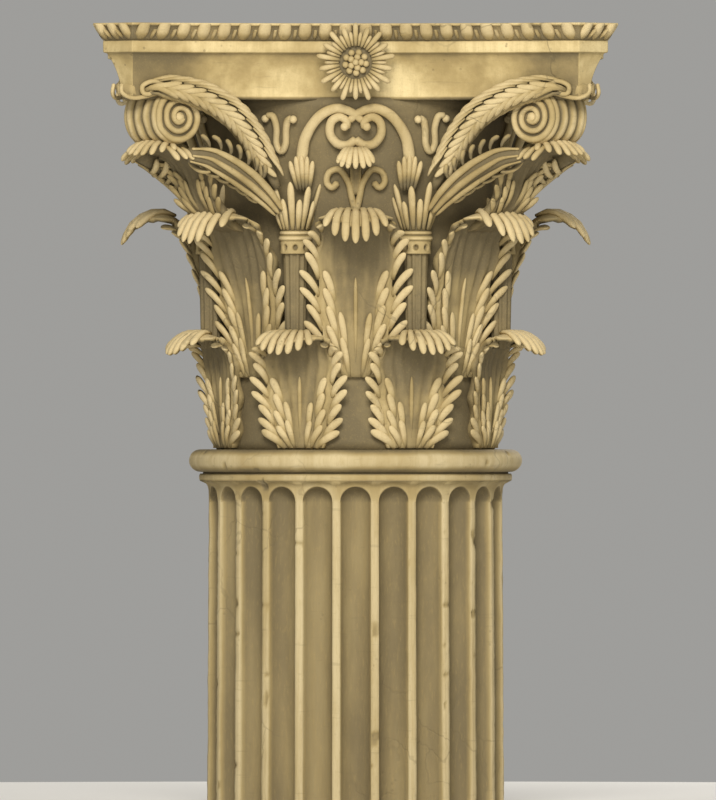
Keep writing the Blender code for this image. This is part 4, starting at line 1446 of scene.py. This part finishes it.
def make_eggs():
    carving = Carving()
    top = CAPITAL_HEIGHT - 0.0015
    upright_lumps(carving, egg_places(0.0), EGG_HALF, 0.0085, top - 0.0270, top, 0.0)
    upright_lumps(carving, egg_places(0.5), 0.0030, 0.0060, top - 0.0265, top - 0.010, 0.2, around=8)
    return carving


capital_piece("egg_moulding", make_eggs().copies(SIDES))

# %% [markdown]
# A flower of long thin petals sits on the middle of each side and rises over both mouldings.
# Every petal is one more finger, laid from the middle outwards over a shallow dome.

# %% Abacus flowers
FLOWER_LEVEL = 0.908 * CAPITAL_HEIGHT
FLOWER_FACE = FILLET_REACH - ABACUS_HOLLOW
FLOWER_RADIUS = 0.0635
DISC_AROUND = 44
DISC = ((1.0, -0.030), (1.0, 0.012), (0.6, 0.022), (0.2, 0.024))   # share of its radius, forward
DISC_POLES = (-0.030, 0.025)
PETAL_COUNT = 18
PETAL_START = 0.028
PETAL_ROWS = (               # reach in flower radii, half width, lift, shift, wave, seed
    (1.0, 0.0046, 0.004, 0.0, 0.05, 71), (0.84, 0.0036, -0.003, 0.5, 0.0, 74),
)
KNOB_RADIUS = 0.0056
KNOB_ROWS = ((9, 0.0175, 0.002), (5, 0.0092, 0.006), (1, 0.0, 0.010))   # count, ring's radius, lift


def on_flower(radius, angle, forward):
    """A place round the flower's middle, with the angle measured from upright."""
    return placed(radius * np.sin(angle), FLOWER_FACE + forward, FLOWER_LEVEL + radius * np.cos(angle))


def petal_dome(u, v):
    """The shallow dome under the petals: u is the angle, v the distance from the middle."""
    return on_flower(v, u, 0.018 + 0.012 * np.sin(math.pi * np.clip(v / FLOWER_RADIUS, 0, 1)))


def make_flower():
    carving = Carving()
    # Painted shade: the disc under the petals is dark.
    angle = math.pi / 2 - circle(DISC_AROUND)
    star = np.where(np.arange(DISC_AROUND) % 2 == 0, 0.72, 0.66) * FLOWER_RADIUS
    rings = [on_flower(size * star, angle, forward) for size, forward in DISC]
    add_tube(carving, rings, [on_flower(0.0, 0.0, forward) for forward in DISC_POLES], 1.0)
    number = np.arange(PETAL_COUNT)
    for reach, half, lift, shift, wave, seed in PETAL_ROWS:
        angle = (number + shift) * 2 * math.pi / PETAL_COUNT
        far = reach * FLOWER_RADIUS * (1 + wave * np.cos(number * math.pi))
        add_fingers(
            carving, petal_dome, pairs(angle, PETAL_START), pairs(angle, far), half, half * 0.9, lift,
            wear_and_highlight=0.1, seed=seed, grime_and_shade=0.06,
        )
    for count, size, lift in KNOB_ROWS:
        for angle in circle(count) + 0.3:
            knob(carving, on_flower(size, angle, 0.026 + lift), KNOB_RADIUS, 0.28)
    return carving


capital_piece("abacus_flowers", make_flower().copies(SIDES))

# %% Floor, light and finish
FLOOR_RADIUS = 2.4
FLOOR_AROUND = 96
FLOOR_LEVEL = -0.0005
FLOOR_COLOUR = (0.72, 0.71, 0.68, 1.0)
LIGHT_COLOUR = (1.0, 0.96, 0.90)
LIT = (0.0, 0.0, 0.75)       # the place that all lights face
LIGHTS = (                   # name, place, size, watts
    ("key", (-0.3, -5.0, 3.1), 1.6, 236.0),
    ("fill", (0.4, -5.4, 0.6), 2.6, 78.0),
    ("back", (1.5, 4.8, 3.0), 2.4, 165.0),
)
SKY_COLOUR = (0.80, 0.79, 0.76, 1.0)
SKY_STRENGTH = 0.43


def add_floor():
    turn = circle(FLOOR_AROUND)
    rim = [(FLOOR_RADIUS * math.cos(t), FLOOR_RADIUS * math.sin(t), FLOOR_LEVEL) for t in turn]
    mesh = bpy.data.meshes.new("floor")
    mesh.from_pydata(rim, [], [list(range(FLOOR_AROUND))])
    material = bpy.data.materials.new("pale floor")
    material.use_nodes = True
    shader = material.node_tree.nodes["Principled BSDF"]
    shader.inputs["Base Color"].default_value = FLOOR_COLOUR
    shader.inputs["Roughness"].default_value = 0.9
    mesh.materials.append(material)
    floor = bpy.data.objects.new("floor", mesh)
    bpy.context.scene.collection.objects.link(floor)


def add_light(name, place, size, power):
    """A square area light that faces the capital."""
    data = bpy.data.lights.new(name, "AREA")
    data.shape = "SQUARE"
    data.size = size
    data.energy = power
    data.color = LIGHT_COLOUR
    lamp = bpy.data.objects.new(name, data)
    lamp.location = place
    across, forward, up = np.array(LIT) - np.array(place)
    lean = math.atan2(math.hypot(across, forward), -up)
    lamp.rotation_euler = (lean, 0.0, math.atan2(-across, forward))
    bpy.context.scene.collection.objects.link(lamp)


add_floor()
for light in LIGHTS:
    add_light(*light)
world = bpy.data.worlds.new("studio")
world.use_nodes = True
sky = world.node_tree.nodes["Background"]
sky.inputs["Color"].default_value = SKY_COLOUR
sky.inputs["Strength"].default_value = SKY_STRENGTH
bpy.context.scene.world = world
bpy.context.scene.view_settings.view_transform = "Standard"
